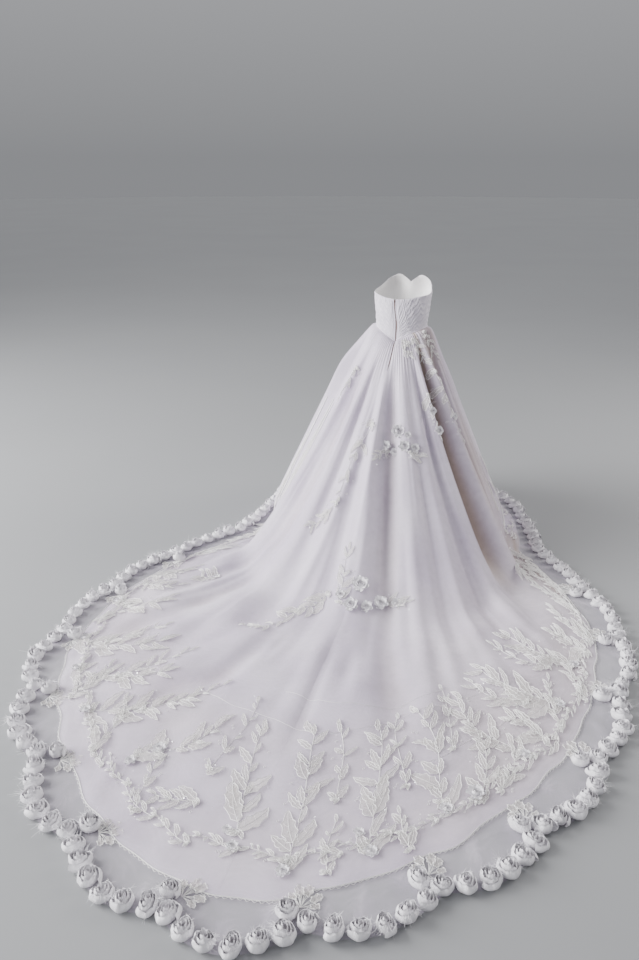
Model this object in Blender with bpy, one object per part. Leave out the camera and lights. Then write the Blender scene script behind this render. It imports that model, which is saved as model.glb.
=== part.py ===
"""Strapless wedding gown with a cathedral train, hollow and standing as it is worn.

The front faces -Y and the train runs out along +Y. Angles are in degrees round the body
from the train's centre line, positive towards +X, the wearer's left. The body is turned
by BODY_TURN from the train, which trails to one side. Heights are above
the floor. Every piece hangs on one empty, the floor under the wearer, so the part's own
origin is the middle of the waist, where the wearer holds the gown up.
"""

import math

import bmesh
import bpy
from mathutils import Vector

# Driving sizes, in metres
WAIST_HEIGHT = 1.10
BODY_TURN = 8.0
BODICE_WALL = 0.0022
SATIN_WALL = 0.0015
NET_WALL = 0.0010
LAYER_GAP = 0.0007
SEAM_GAP = 0.0003
PLEAT_RELIEF = 0.0024
GATHER_RELIEF = 0.0035
GATHER_END = 0.45
PLACKET_GAP = 0.0045
PLACKET_LENGTH = 0.15
ZIP_TAPE_WIDTH = 0.024
ZIP_TAPE_WALL = 0.0010
ZIP_TAPE_GAP = 0.0010
SKIRT_JOIN = 0.0006
SHARP_ANGLE = math.radians(50)

# Hem trim: roses wound from a strip of satin, sewn along a scalloped edge
ROSE_RADIUS = 0.0355
ROSE_HEIGHT = 0.028
ROSE_SIDES = 6
LOBES = 22
ROSES_PER_LOBE = 6
LOBES_PER_TRIM = 2
SCALLOP_DEPTH = 0.060
FRONT_SCALLOP = 0.35
INNER_ROSE_LEAST_HEM = 1.15
FIRST_CUSP_ANGLE = 2.8
INNER_ROSE_DISTANCE = 0.068
NET_BEYOND_ROSES = 0.018
NET_STEP = 0.012
LACE_WALL = 0.0025
LACE_CLEARANCE = 0.0008
HALF_STEM = 0.006
LEAF_REACH = 0.30

# Rose line: angle round the body, distance from the body's axis
HEM_RADIUS = [
    (-180, 0.75), (-140, 0.75), (-105, 0.73), (-92, 0.74), (-82, 0.79), (-72, 0.90),
    (-60, 1.22), (-50, 1.50), (-40, 1.75), (-30, 2.05), (-20, 2.32), (-10, 2.54),
    (0, 2.67), (10, 2.57), (20, 2.37), (30, 2.14), (40, 1.81), (50, 1.43), (60, 1.04),
    (68, 0.85), (80, 0.75), (95, 0.74), (120, 0.75), (180, 0.75),
]
# Net shown beyond the satin underskirt: angle, width of the clear border
BORDER_WIDTH = [
    (-180, 0.06), (-90, 0.07), (-70, 0.16), (-60, 0.20), (-45, 0.15), (-20, 0.17),
    (0, 0.13), (20, 0.14), (42, 0.15), (58, 0.20), (68, 0.14), (85, 0.06), (180, 0.06),
]
# Where the skirt first meets the floor: angle, distance from the body's axis
TOUCH_RADIUS = [
    (-180, 0.62), (-100, 0.60), (-80, 0.62), (-66, 0.69), (-50, 0.90), (-25, 1.15),
    (0, 1.22), (25, 1.15), (50, 0.90), (66, 0.67), (85, 0.62), (100, 0.61), (180, 0.62),
]
# The skirt's drop from waist to floor: place, then the shares of the way down and of the
# way out, at the front and sides and over the train
DROP = [
    (0.00, 0.000, 0.000, 0.000, 0.000), (0.04, 0.012, 0.046, 0.012, 0.020),
    (0.10, 0.055, 0.095, 0.055, 0.058), (0.20, 0.150, 0.175, 0.150, 0.125),
    (0.34, 0.300, 0.310, 0.300, 0.225), (0.50, 0.480, 0.490, 0.480, 0.360),
    (0.66, 0.660, 0.675, 0.660, 0.515), (0.80, 0.830, 0.845, 0.830, 0.680),
    (0.90, 0.930, 0.945, 0.930, 0.815), (0.96, 0.975, 0.984, 0.980, 0.905),
    (1.00, 1.000, 1.000, 1.000, 1.000),
]
# Folds: angle, half width, height, where it starts and ends (0 waist, 1 floor, 2 hem)
FOLDS = [
    (1, 7, 0.030, 0.10, 1.40), (-9, 6, -0.022, 0.12, 0.95),
    (-19, 8, 0.018, 0.05, 1.40), (-29, 7, 0.020, 0.10, 1.40),
    (-40, 6, 0.034, 0.03, 1.40), (-48, 6, -0.055, 0.02, 1.00),
    (-57, 6, 0.034, 0.03, 1.40), (-67, 6, -0.024, 0.04, 0.97),
    (-79, 9, 0.018, 0.02, 1.02), (-98, 10, 0.016, 0.03, 1.02),
    (-118, 10, 0.030, 0.04, 1.02), (-138, 10, 0.024, 0.06, 1.02),
    (-158, 10, 0.028, 0.05, 1.02), (-178, 9, 0.022, 0.08, 1.02),
    (12, 6, 0.018, 0.20, 1.40), (24, 7, 0.024, 0.08, 1.40),
    (35, 6, -0.020, 0.10, 0.96), (46, 7, 0.028, 0.06, 1.40),
    (58, 7, -0.024, 0.04, 0.97), (72, 10, 0.080, 0.01, 1.02),
    (88, 11, 0.085, 0.01, 1.02), (107, 10, 0.070, 0.01, 1.02),
    (127, 10, 0.024, 0.06, 1.02), (147, 10, 0.028, 0.05, 1.02),
    (166, 9, 0.022, 0.08, 1.02),
]
# Height of the train's cloth over the floor, puffed by its own layers: place, height
TRAIN_LIFT = [(1.0, 0.0), (1.45, 0.020), (2.0, 0.0)]

# Skirt panels: name, first angle, last angle, columns of points across it
SKIRT_PANELS = [
    ("train_left", 0, 42, 13), ("side_left", 42, 102, 13), ("front", 102, 258, 23),
    ("side_right", 258, 318, 13), ("train_right", 318, 360, 13),
]
# Rings of points down the skirt: 0 at the waist seam, 1 at the floor, 2 at the satin's hem
SATIN_RINGS = [0.0, 0.04, 0.11, 0.22, 0.38, 0.56, 0.74, 0.88, 0.96, 1.0, 1.45, 2.0]

# Bodice sections: height, half width, depth at the back, depth at the front
BODICE_SECTIONS = [
    (1.00, 0.146, 0.108, 0.108), (1.05, 0.134, 0.099, 0.100), (1.10, 0.127, 0.094, 0.096),
    (1.16, 0.132, 0.097, 0.102), (1.22, 0.139, 0.099, 0.112), (1.27, 0.142, 0.100, 0.118),
    (1.32, 0.139, 0.098, 0.116), (1.38, 0.132, 0.094, 0.106),
]
# Upper and lower edge of the bodice: angle from the centre back, height
TOP_EDGE = [
    (0, 1.242), (30, 1.247), (60, 1.258), (90, 1.268), (115, 1.286),
    (140, 1.322), (155, 1.335), (170, 1.316), (180, 1.298),
]
WAIST_EDGE = [
    (0, 1.036), (20, 1.056), (45, 1.078), (70, 1.094), (90, 1.100),
    (115, 1.094), (140, 1.076), (160, 1.056), (180, 1.042),
]
# Cups: angle from the centre back, height, half width in degrees, half height, depth
CUPS = [(148, 1.275, 30, 0.085, 0.040), (-148, 1.275, 30, 0.085, 0.040)]
# Bodice panels: name, first angle, last angle, columns of points across it
BODICE_PANELS = [
    ("bodice_back_left", 0, 40, 6), ("bodice_side_back_left", 40, 92, 6),
    ("bodice_side_front_left", 92, 148, 7), ("bodice_front", 148, 212, 9),
    ("bodice_side_front_right", 212, 268, 7), ("bodice_side_back_right", 268, 320, 6),
    ("bodice_back_right", 320, 360, 6),
]
BODICE_ROWS = 15
# Welt at the waist: place above the seam in rows of the bodice, height over the wall
CORD_LIFTS_OUT = [(0.06, 0.0022), (0.22, 0.0034), (0.40, 0.0022)]
CORD_LIFTS_IN = [(0.06, 0.0004), (0.22, 0.0004), (0.40, 0.0004)]
# Rows of points of the zip's tape: rows of the bodice, then places down the skirt
ZIP_BODICE_ROWS = [13.8, 12, 10, 8, 6, 5, 4, 3, 2, 1, 0.5]
ZIP_SKIRT_ROWS = [0.0, 0.04, 0.11, 0.20]
# Rings of a rose: share of its radius, share of its height; then the pit in its middle
ROSE_RINGS = [(1.0, 0.0), (0.76, 1.0)]
ROSE_PIT = 0.55

# Flower clusters sewn on the back: name, then flowers as angle, place, radius
CLUSTERS = [
    ("flower_cluster_high", [(-23, 0.46, 0.020), (-17, 0.45, 0.022), (-13, 0.40, 0.026)]),
    ("flower_cluster_low", [(-8, 0.90, 0.026), (-3, 0.87, 0.032), (1, 0.92, 0.025)]),
]
# Lace sprays sewn on the train: angle and place of the root, of the tip, pairs of leaves
SPRAYS = [
    (40.0, 1.88, 37.0, 1.50, 3), (33.5, 1.90, 28.0, 1.48, 4), (28.0, 1.88, 19.5, 1.54, 4),
    (21.0, 1.84, 13.5, 1.54, 4), (12.5, 1.78, 7.5, 1.54, 3), (0.8, 1.83, 2.6, 1.50, 4),
    (-4.0, 1.88, -2.6, 1.48, 4), (-9.2, 1.90, -9.0, 1.48, 4), (-15.2, 1.82, -13.8, 1.46, 4),
    (-23.5, 1.82, -20.5, 1.48, 4), (-31.5, 1.78, -27.5, 1.46, 3), (-39.0, 1.76, -36.5, 1.46, 3),
]
# A fan of corded lace: turn of each finger from its root, length
FAN_FINGERS = [(-25, 0.050), (8, 0.064), (40, 0.070), (72, 0.066), (104, 0.050)]
FAN_VALLEY = 0.030


def clear_scene():
    for found in list(bpy.data.objects):
        bpy.data.objects.remove(found)


def material(name, colour, roughness, alpha=1.0):
    made = bpy.data.materials.new(name)
    made.use_nodes = True
    shader = made.node_tree.nodes["Principled BSDF"]
    shader.inputs["Base Color"].default_value = (*colour, 1.0)
    shader.inputs["Roughness"].default_value = roughness
    shader.inputs["Metallic"].default_value = 0.0
    shader.inputs["Alpha"].default_value = alpha
    return made


def curve(rows, x):
    """A smooth curve through a table of x and y."""
    i = 0
    while i < len(rows) - 2 and x > rows[i + 1][0]:
        i += 1
    (x0, y0), (x1, y1) = rows[i], rows[i + 1]
    before, after = rows[max(i - 1, 0)], rows[min(i + 2, len(rows) - 1)]
    slope0 = (y1 - before[1]) / (x1 - before[0])
    slope1 = (after[1] - y0) / (after[0] - x0)
    width = x1 - x0
    t = min(max((x - x0) / width, 0.0), 1.0)
    return (
        y0 * (1 + 2 * t) * (1 - t) ** 2
        + y1 * t * t * (3 - 2 * t)
        + width * (slope0 * t * (1 - t) ** 2 - slope1 * t * t * (1 - t))
    )


def straight(rows, x):
    """A straight-line reading of a fine table of x and y."""
    low, high = 0, len(rows) - 1
    while high - low > 1:
        middle = (low + high) // 2
        if rows[middle][0] > x:
            high = middle
        else:
            low = middle
    (x0, y0), (x1, y1) = rows[low], rows[high]
    return y0 + (y1 - y0) * (x - x0) / (x1 - x0)


def wrapped(angle):
    return (angle + 180.0) % 360.0 - 180.0


def smooth_step(t):
    t = min(max(t, 0.0), 1.0)
    return t * t * (3 - 2 * t)


def round_body(angle, radius, height):
    a = math.radians(angle)
    return Vector((radius * math.sin(a), radius * math.cos(a), height))


# Bodice


def section(height):
    half_width = curve([(row[0], row[1]) for row in BODICE_SECTIONS], height)
    back = curve([(row[0], row[2]) for row in BODICE_SECTIONS], height)
    front = curve([(row[0], row[3]) for row in BODICE_SECTIONS], height)
    return half_width, back, front


def bodice_radius(angle, height):
    """Distance from the body's axis to the bodice's inner face."""
    half_width, back, front = section(height)
    a = math.radians(angle)
    depth = back if math.cos(a) > 0 else front
    radius = 1.0 / math.sqrt((math.sin(a) / half_width) ** 2 + (math.cos(a) / depth) ** 2)
    for at, level, half_angle, half_height, cup in CUPS:
        across = wrapped(angle - at) / half_angle
        up = (height - level) / half_height
        radius += cup * math.exp(-1.6 * (across * across + up * up))
    return radius


def spread(first, last, columns):
    return [first + (last - first) * i / (columns - 1) for i in range(columns)]


def waist_height(angle):
    """Height of the waist seam, straight between the bodice's columns of points."""
    angle %= 360.0
    for name, first, last, columns in BODICE_PANELS:
        if angle > last:
            continue
        step = (last - first) / (columns - 1)
        low = first + step * min(int((angle - first) / step), columns - 2)
        share = (angle - low) / step
        heights = [curve(WAIST_EDGE, abs(wrapped(turn))) for turn in (low, low + step)]
        return heights[0] + (heights[1] - heights[0]) * share


def top_height(angle):
    return curve(TOP_EDGE, abs(wrapped(angle)))


def edge_turn(first, last, columns, column, radius, placket):
    """Degrees by which an edge column is drawn back from its seam, or from the closure."""
    if 0 < column < columns - 1:
        return 0.0
    at_closure = (first == 0 and column == 0) or (last == 360 and column == columns - 1)
    gap = SEAM_GAP * 0.6 + (placket * PLACKET_GAP / 2 if at_closure else 0.0)
    turn = math.degrees(gap / radius)
    return turn if column == 0 else -turn


def bodice_point(angle, up, lift):
    low = waist_height(angle)
    height = low + (top_height(angle) - low) * up
    return round_body(angle + BODY_TURN, bodice_radius(angle, height) + lift, height)


def pleat_rise(row):
    """Every other row of the bodice stands out, as a pleat of the gathered tulle."""
    return PLEAT_RELIEF if row % 2 and row < BODICE_ROWS - 1 else 0.0


def bodice_panel(name, first, last, columns, finish):
    outer, inner = [], []
    for row in range(BODICE_ROWS):
        up = row / (BODICE_ROWS - 1)
        outer_row, inner_row = [], []
        for column, angle in enumerate(spread(first, last, columns)):
            height = bodice_point(angle, up, 0.0).z
            placket = 1.0 - smooth_step((height - 1.19) / 0.04)
            turned = angle + edge_turn(first, last, columns, column, 0.095, placket)
            inner_row.append(bodice_point(turned, up, 0.0))
            outer_row.append(bodice_point(turned, up, BODICE_WALL + pleat_rise(row)))
        outer.append(outer_row)
        inner.append(inner_row)
    return wall(name, outer, inner, finish)


def waist_cord(name, first, last, finish):
    """A corded welt over the waist seam, on the foot of the bodice."""
    angles = []
    for panel, start, end, columns in BODICE_PANELS:
        if first <= start and end <= last:
            angles.extend(a for a in spread(start, end, columns) if a not in angles)
    row_height = 1.0 / (BODICE_ROWS - 1)
    sheets = []
    for lifts in (CORD_LIFTS_OUT, CORD_LIFTS_IN):
        rows = []
        for up, lift in lifts:
            row = []
            for i, angle in enumerate(angles):
                turned = angle + edge_turn(first, last, len(angles), i, 0.095, 1.0)
                rise = BODICE_WALL + PLEAT_RELIEF * up + lift
                row.append(bodice_point(turned, up * row_height, rise))
            rows.append(row)
        sheets.append(rows)
    return wall(name, sheets[0], sheets[1], finish)


# Skirt


def hem_lengths():
    """Rows of length along the plain rose line at each whole degree, and the whole length."""
    lengths, total, before = [], 0.0, None
    for degree in range(-180, 181):
        here = round_body(degree, curve(HEM_RADIUS, degree), 0.0)
        total += (here - before).length if before else 0.0
        lengths.append((degree, total))
        before = here
    return lengths, total


HEM_LENGTHS, HEM_TOTAL = hem_lengths()
HEM_START = straight(HEM_LENGTHS, FIRST_CUSP_ANGLE)


def rose_line(angle):
    """Distance of the scalloped line of roses: the lobes meet in cusps nearer the body."""
    lobe = LOBES * (straight(HEM_LENGTHS, wrapped(angle)) - HEM_START) / HEM_TOTAL
    depth = SCALLOP_DEPTH * (FRONT_SCALLOP + (1 - FRONT_SCALLOP) * train_share(angle))
    scallop = depth * (abs(math.sin(math.pi * lobe)) - 0.62)
    return curve(HEM_RADIUS, wrapped(angle)) + scallop


def satin_hem(angle):
    angle = wrapped(angle)
    return curve(HEM_RADIUS, angle) - curve(BORDER_WIDTH, angle)


def train_share(angle):
    return smooth_step((curve(HEM_RADIUS, wrapped(angle)) - 0.90) / 1.0)


def fold_height(angle, place):
    height = 0.0
    for at, half_width, size, start, end in FOLDS:
        across = abs(wrapped(angle - at)) / half_width
        if across >= 1 or not start < place < end:
            continue
        grown = smooth_step((place - start) / 0.30)
        fading = smooth_step((end - place) / (0.45 if end > 1.1 else 0.18))
        height += size * 0.5 * (1 + math.cos(math.pi * across)) * grown * fading
    return height


def skirt_base(angle, place):
    """A point of the skirt's plain form, before its folds."""
    waist = waist_height(angle) - SKIRT_JOIN
    waist_radius = bodice_radius(angle, waist)
    touch = curve(TOUCH_RADIUS, wrapped(angle))
    share = train_share(angle)
    if place > 1.0:
        radius = touch + (satin_hem(angle) - touch) * (place - 1.0)
        return round_body(angle, radius, curve(TRAIN_LIFT, place) * share)
    down, out, train_down, train_out = [
        curve([(row[0], row[i]) for row in DROP], place) for i in range(1, 5)
    ]
    down += (train_down - down) * share
    out += (train_out - out) * share
    turned = angle + BODY_TURN * (1 - place) ** 2
    return round_body(turned, waist_radius + (touch - waist_radius) * out, waist * (1 - down))


def skirt_normal(angle, place):
    if place == 0.0:
        return round_body(angle + BODY_TURN, 1.0, 0.0)
    step = 0.01
    along = skirt_base(angle, place + step) - skirt_base(angle, max(place - step, 0.0))
    across = skirt_base(angle + 1.0, place) - skirt_base(angle - 1.0, place)
    normal = across.cross(along).normalized()
    if place > 1.0:
        normal = normal.lerp(Vector((0, 0, 1)), smooth_step((place - 1.0) / 0.1))
    return normal.normalized()


def skirt_point(angle, place, lift, gather=0.0):
    rise = fold_height(angle, place) + gather
    return skirt_base(angle, place) + skirt_normal(angle, place) * (rise + lift)


def gather_rise(column, place):
    """Small gathers under the waist seam, one on every other column."""
    if place == 0.0 or place > GATHER_END or column % 2 == 0:
        return 0.0
    return GATHER_RELIEF * (1 - place / GATHER_END)


def skirt_rows(first, last, columns, lift):
    rows = []
    for place in SATIN_RINGS:
        row = []
        for column, angle in enumerate(spread(first, last, columns)):
            here = skirt_base(angle, place)
            depth = waist_height(angle) - here.z
            placket = 1.0 - smooth_step((depth - PLACKET_LENGTH) / 0.03)
            turn = edge_turn(first, last, columns, column, here.xy.length, placket)
            inside = 0 < column < columns - 1
            gather = gather_rise(column, place) if inside else 0.0
            row.append(skirt_point(angle + turn, place, lift, gather))
        rows.append(row)
    return rows


def satin_panel(name, first, last, columns, finish):
    outer = skirt_rows(first, last, columns, SATIN_WALL)
    inner = skirt_rows(first, last, columns, 0.0)
    return wall("underskirt_" + name, outer, inner, finish)


def border_row(first, last, columns, radius_of, height):
    """A ring of the net's clear border, flat on the floor."""
    row = []
    for column, angle in enumerate(spread(first, last, columns)):
        turn = edge_turn(first, last, columns, column, radius_of(angle), 0.0)
        row.append(round_body(angle + turn, radius_of(angle), height))
    return row


def net_edge(angle):
    return rose_line(angle) + NET_BEYOND_ROSES


def net_foot(angle):
    return satin_hem(angle) + NET_STEP


def net_rows(first, last, columns, thickness):
    rows = skirt_rows(first, last, columns, SATIN_WALL + LAYER_GAP + thickness)
    floor_height = SEAM_GAP + thickness
    rows.append(border_row(first, last, columns, net_foot, floor_height))
    rows.append(border_row(first, last, 2 * columns - 1, net_edge, floor_height))
    return rows


def net_panel(name, first, last, columns, finish):
    outer = net_rows(first, last, columns, NET_WALL)
    inner = net_rows(first, last, columns, 0.0)
    NET_OUTSIDES.append((first, last, columns, outer))
    return wall("tulle_" + name, outer, inner, finish)


NET_OUTSIDES = []


def on_net(angle, place):
    """The point and the outward direction on the net's faces, at an angle and a place."""
    angle %= 360.0
    for first, last, columns, rows in NET_OUTSIDES:
        if first <= angle <= last:
            break
    across = (angle - first) / (last - first) * (columns - 1)
    i = min(int(across), columns - 2)
    k = max(n for n, ring in enumerate(SATIN_RINGS[:-1]) if ring <= place)
    down = (place - SATIN_RINGS[k]) / (SATIN_RINGS[k + 1] - SATIN_RINGS[k])
    across -= i
    corner, opposite = rows[k][i], rows[k + 1][i + 1]
    if down > across:
        side = rows[k + 1][i]
        point = corner + (side - corner) * down + (opposite - side) * across
    else:
        side = rows[k][i + 1]
        point = corner + (side - corner) * across + (opposite - side) * down
    normal = (side - corner).cross(opposite - corner).normalized()
    return point, normal if normal.dot(Vector((point.x, point.y, 0.5))) > 0 else -normal


def place_of_radius(angle, radius):
    touch = curve(TOUCH_RADIUS, wrapped(angle))
    return 1.0 + (radius - touch) / (satin_hem(angle) - touch)


def floor_top(point):
    """Height of the net's top face under a point on the floor, or on the train."""
    angle, radius = math.degrees(math.atan2(point.x, point.y)), point.xy.length
    border = SEAM_GAP + NET_WALL
    hem = satin_hem(angle)
    over_satin = SATIN_WALL + LAYER_GAP + NET_WALL
    if radius >= hem:
        return over_satin + (border - over_satin) * min((radius - hem) / NET_STEP, 1.0)
    return on_net(angle, max(place_of_radius(angle, radius), 1.0))[0].z


# Walls and small pieces


def band_faces(upper, lower):
    """Triangles between two rows of point numbers, the lower as long or twice as fine."""
    faces = []
    for i in range(len(upper) - 1):
        if len(lower) == len(upper):
            faces.append((upper[i], lower[i], lower[i + 1]))
            faces.append((upper[i], lower[i + 1], upper[i + 1]))
            continue
        left, middle, right = lower[2 * i], lower[2 * i + 1], lower[2 * i + 2]
        faces.append((upper[i], left, middle))
        faces.append((upper[i], middle, upper[i + 1]))
        faces.append((upper[i + 1], middle, right))
    return faces


def wall(name, outer, inner, finish):
    """A closed wall between two sheets of points with the same rows."""
    points, faces, rims = [], [], []
    for sheet in (outer, inner):
        numbers = []
        for row in sheet:
            numbers.append(list(range(len(points), len(points) + len(row))))
            points.extend(row)
        for upper, lower in zip(numbers, numbers[1:]):
            band = band_faces(upper, lower)
            faces.extend(band if sheet is outer else [face[::-1] for face in band])
        left = [row[0] for row in numbers]
        right = [row[-1] for row in numbers]
        rims.append(numbers[0] + right[1:] + numbers[-1][-2::-1] + left[-2:0:-1])
    for i in range(len(rims[0])):
        j = (i + 1) % len(rims[0])
        faces.append((rims[0][i], rims[0][j], rims[1][j]))
        faces.append((rims[0][i], rims[1][j], rims[1][i]))
    return add_object(name, points, faces, finish)


def add_object(name, points, faces, finish):
    mesh = bpy.data.meshes.new(name)
    mesh.from_pydata(points, [], faces)
    shape = bmesh.new()
    shape.from_mesh(mesh)
    bmesh.ops.recalc_face_normals(shape, faces=shape.faces)
    bmesh.ops.triangulate(shape, faces=shape.faces)
    shape.to_mesh(mesh)
    shape.free()
    mesh.materials.append(finish)
    mesh.shade_smooth()
    mesh.set_sharp_from_angle(angle=SHARP_ANGLE)
    made = bpy.data.objects.new(name, mesh)
    bpy.context.scene.collection.objects.link(made)
    made.parent = bpy.data.objects["floor_under_wearer"]
    return made


class Sewn:
    """Wound roses and lace fans, joined side to side into one closed body."""

    def __init__(self):
        self.points, self.faces = [], []

    def rose(self, centre, normal, ahead, radius, height):
        """Adds a rose and returns its side faces, the first one facing ahead."""
        ahead = (ahead - normal * ahead.dot(normal)).normalized()
        beside = normal.cross(ahead)
        start, n = len(self.points), ROSE_SIDES
        for share, rise in ROSE_RINGS:
            for i in range(n):
                turn = 2 * math.pi * (i - 0.5) / n
                reach = (ahead * math.cos(turn) + beside * math.sin(turn)) * radius * share
                self.points.append(centre + reach + normal * height * rise)
        pit = len(self.points)
        self.points.append(centre + normal * height * ROSE_PIT)
        self.faces.append(tuple(range(start, start + n)))
        for i in range(n):
            self.faces.append((start + n + i, start + n + (i + 1) % n, pit))
        sides = []
        for i in range(n):
            j = (i + 1) % n
            sides.append((start + i, start + j, start + n + j, start + n + i))
        return sides

    def fan(self, root, ahead):
        """Adds an open fan of lace and returns the face at its root."""
        beside = Vector((0, 0, 1)).cross(ahead)
        half_root = ROSE_RADIUS * 0.3
        flat = [(0.0, -half_root)]
        for i, (turn, length) in enumerate(FAN_FINGERS):
            a = math.radians(turn)
            flat.append((length * math.cos(a), length * math.sin(a)))
            if i + 1 < len(FAN_FINGERS):
                b = math.radians((turn + FAN_FINGERS[i + 1][0]) / 2)
                flat.append((FAN_VALLEY * math.cos(b), FAN_VALLEY * math.sin(b)))
        flat.append((0.0, half_root))
        start, n = len(self.points), len(flat)
        places = [root + ahead * u + beside * v for u, v in flat]
        samples = [root.lerp(place, share) for place in places for share in (0.33, 0.66, 1.0)]
        level = max(floor_top(sample) for sample in samples) + SEAM_GAP
        for rise in (level, level + LACE_WALL):
            self.points.extend(Vector((place.x, place.y, rise)) for place in places)
        self.faces.append(tuple(range(start, start + n)))
        self.faces.append(tuple(range(start + n, start + 2 * n)))
        for i in range(n - 1):
            self.faces.append((start + i, start + i + 1, start + n + i + 1, start + n + i))
        return (start + n - 1, start, start + n, start + 2 * n - 1)

    def join(self, one, other):
        """Joins two side faces, which face each other, with four walls."""
        a, b, c, d = one
        e, f, g, h = other
        self.faces.extend([(a, f, e, b), (b, e, h, c), (c, h, g, d), (d, g, f, a)])


def scalloped_line():
    """Rows of length along the line of roses and of the angle there, against the clock."""
    rows, total, before = [], 0.0, None
    steps = LOBES * ROSES_PER_LOBE * 20
    for i in range(steps + 1):
        angle = FIRST_CUSP_ANGLE - 360.0 * i / steps
        here = round_body(angle, rose_line(angle), 0.0)
        total += (here - before).length if before else 0.0
        rows.append((total, angle))
        before = here
    return rows


def carries_inner_roses(place):
    return place.xy.length > INNER_ROSE_LEAST_HEM


def rose_seat(centre):
    """Lifts a rose clear of the net under its base, and on the train of the satin's edge."""
    highest = SATIN_WALL + LAYER_GAP + NET_WALL if carries_inner_roses(centre) else 0.0
    for i in range(12):
        a = math.radians(30 * i)
        reach = Vector((math.cos(a), math.sin(a), 0.0)) * ROSE_RADIUS
        highest = max(highest, floor_top(centre + reach))
    return Vector((centre.x, centre.y, highest + SEAM_GAP))


def rose_trims(finish):
    line = scalloped_line()
    count, total = LOBES * ROSES_PER_LOBE, line[-1][0]
    places = []
    for i in range(count):
        angle = straight(line, total * (i + 0.5) / count)
        places.append(rose_seat(round_body(angle, rose_line(angle), 0.0)))
    up = Vector((0, 0, 1))
    per_trim = LOBES_PER_TRIM * ROSES_PER_LOBE
    for trim in range(LOBES // LOBES_PER_TRIM):
        sewn, front = Sewn(), None
        first = trim * per_trim + ROSES_PER_LOBE // 2
        for i in range(first, first + per_trim):
            centre = places[i % count]
            ahead = (places[(i + 1) % count] - places[(i - 1) % count]).normalized()
            sides = sewn.rose(centre, up, ahead, ROSE_RADIUS, ROSE_HEIGHT)
            back = sides[3]
            if front:
                sewn.join(front, back)
            else:
                sewn.faces.append(back)
            front = sides[0]
            sewn.faces.extend([sides[2], sides[4], sides[5]])
            at_cusp = i % ROSES_PER_LOBE == ROSES_PER_LOBE - 1
            if not at_cusp or not carries_inner_roses(centre):
                sewn.faces.append(sides[1])
                continue
            turn = ahead * math.cos(math.pi / 3) + up.cross(ahead) * math.sin(math.pi / 3)
            inner_centre = rose_seat(centre + turn * INNER_ROSE_DISTANCE)
            inner = sewn.rose(inner_centre, up, ahead, ROSE_RADIUS * 0.95, ROSE_HEIGHT)
            sewn.join(sides[1], inner[4])
            root = inner_centre + ahead * ROSE_RADIUS * 1.05
            sewn.join(inner[0], sewn.fan(root, ahead))
            sewn.faces.extend([inner[1], inner[2], inner[3], inner[5]])
        sewn.faces.append(front)
        add_object(f"rose_trim_{trim + 1:02d}", sewn.points, sewn.faces, finish)


def net_under(angle, place, radius):
    """Points of the net under a flower and round it."""
    distance = on_net(angle, place)[0].xy.length
    per_place = (on_net(angle, place + 0.05)[0] - on_net(angle, place)[0]).length / 0.05
    found = []
    for share in (0.0, 0.5, 1.0, 1.35, 1.7):
        for i in range(12):
            a = math.radians(30 * i)
            across = math.degrees(radius * share * math.cos(a) / distance)
            down = radius * share * math.sin(a) / per_place
            found.append(on_net(angle + across, place + down)[0])
    return found


def flower_cluster(name, flowers, finish):
    """Flowers in a row on the net, each joined to the one before it."""
    sewn, before = Sewn(), None
    under = [net_under(*flower) for flower in flowers]
    normals = [on_net(angle, place)[1] for angle, place, radius in flowers]
    normal = sum(normals, Vector()).normalized()
    spots = [on_net(angle, place)[0] for angle, place, radius in flowers]
    for i, (angle, place, radius) in enumerate(flowers):
        highest = max((point - spots[i]).dot(normal) for point in under[i])
        centre = spots[i] + normal * (highest + SEAM_GAP)
        other = spots[i + 1] if i + 1 < len(spots) else 2 * spots[i] - spots[i - 1]
        sides = sewn.rose(centre, normal, other - spots[i], radius, radius * 0.8)
        sewn.faces.extend(sides[1:3] + sides[4:])
        if before:
            sewn.join(before, sides[3])
        else:
            sewn.faces.append(sides[3])
        before = sides[0]
    sewn.faces.append(before)
    add_object(name, sewn.points, sewn.faces, finish)


def lace_spray(name, root_at, tip_at, pairs, finish):
    """A flat frond of lace lying on the train, with pairs of leaves along its stem."""
    root, tip = on_net(*root_at)[0], on_net(*tip_at)[0]
    length = (tip.xy - root.xy).length
    ahead = (tip - root).normalized()
    beside = Vector((0, 0, 1)).cross(ahead).normalized()
    side = [(0.0, HALF_STEM)]
    for pair in range(pairs):
        start = length * (pair + 0.15) / pairs
        reach = LEAF_REACH * length * (1 - 0.55 * (pair + 0.5) / pairs)
        side.append((start, HALF_STEM))
        side.append((start + reach * 0.75, HALF_STEM + reach * 0.80))
        side.append((start + length * 0.42 / pairs, HALF_STEM))
    flat = side + [(length * 1.05, 0.0)] + [(u, -v) for u, v in side[::-1]]
    places = [root + ahead * u + beside * v for u, v in flat]
    points = []
    for rise in (0.0, LACE_WALL):
        for place in places:
            level = floor_top(place) + LACE_CLEARANCE + rise
            points.append(Vector((place.x, place.y, level)))
    n = len(flat)
    faces = [tuple(range(n)), tuple(range(n, 2 * n))]
    for i in range(n):
        j = (i + 1) % n
        faces.append((i, j, n + j, n + i))
    add_object(name, points, faces, finish)


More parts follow.
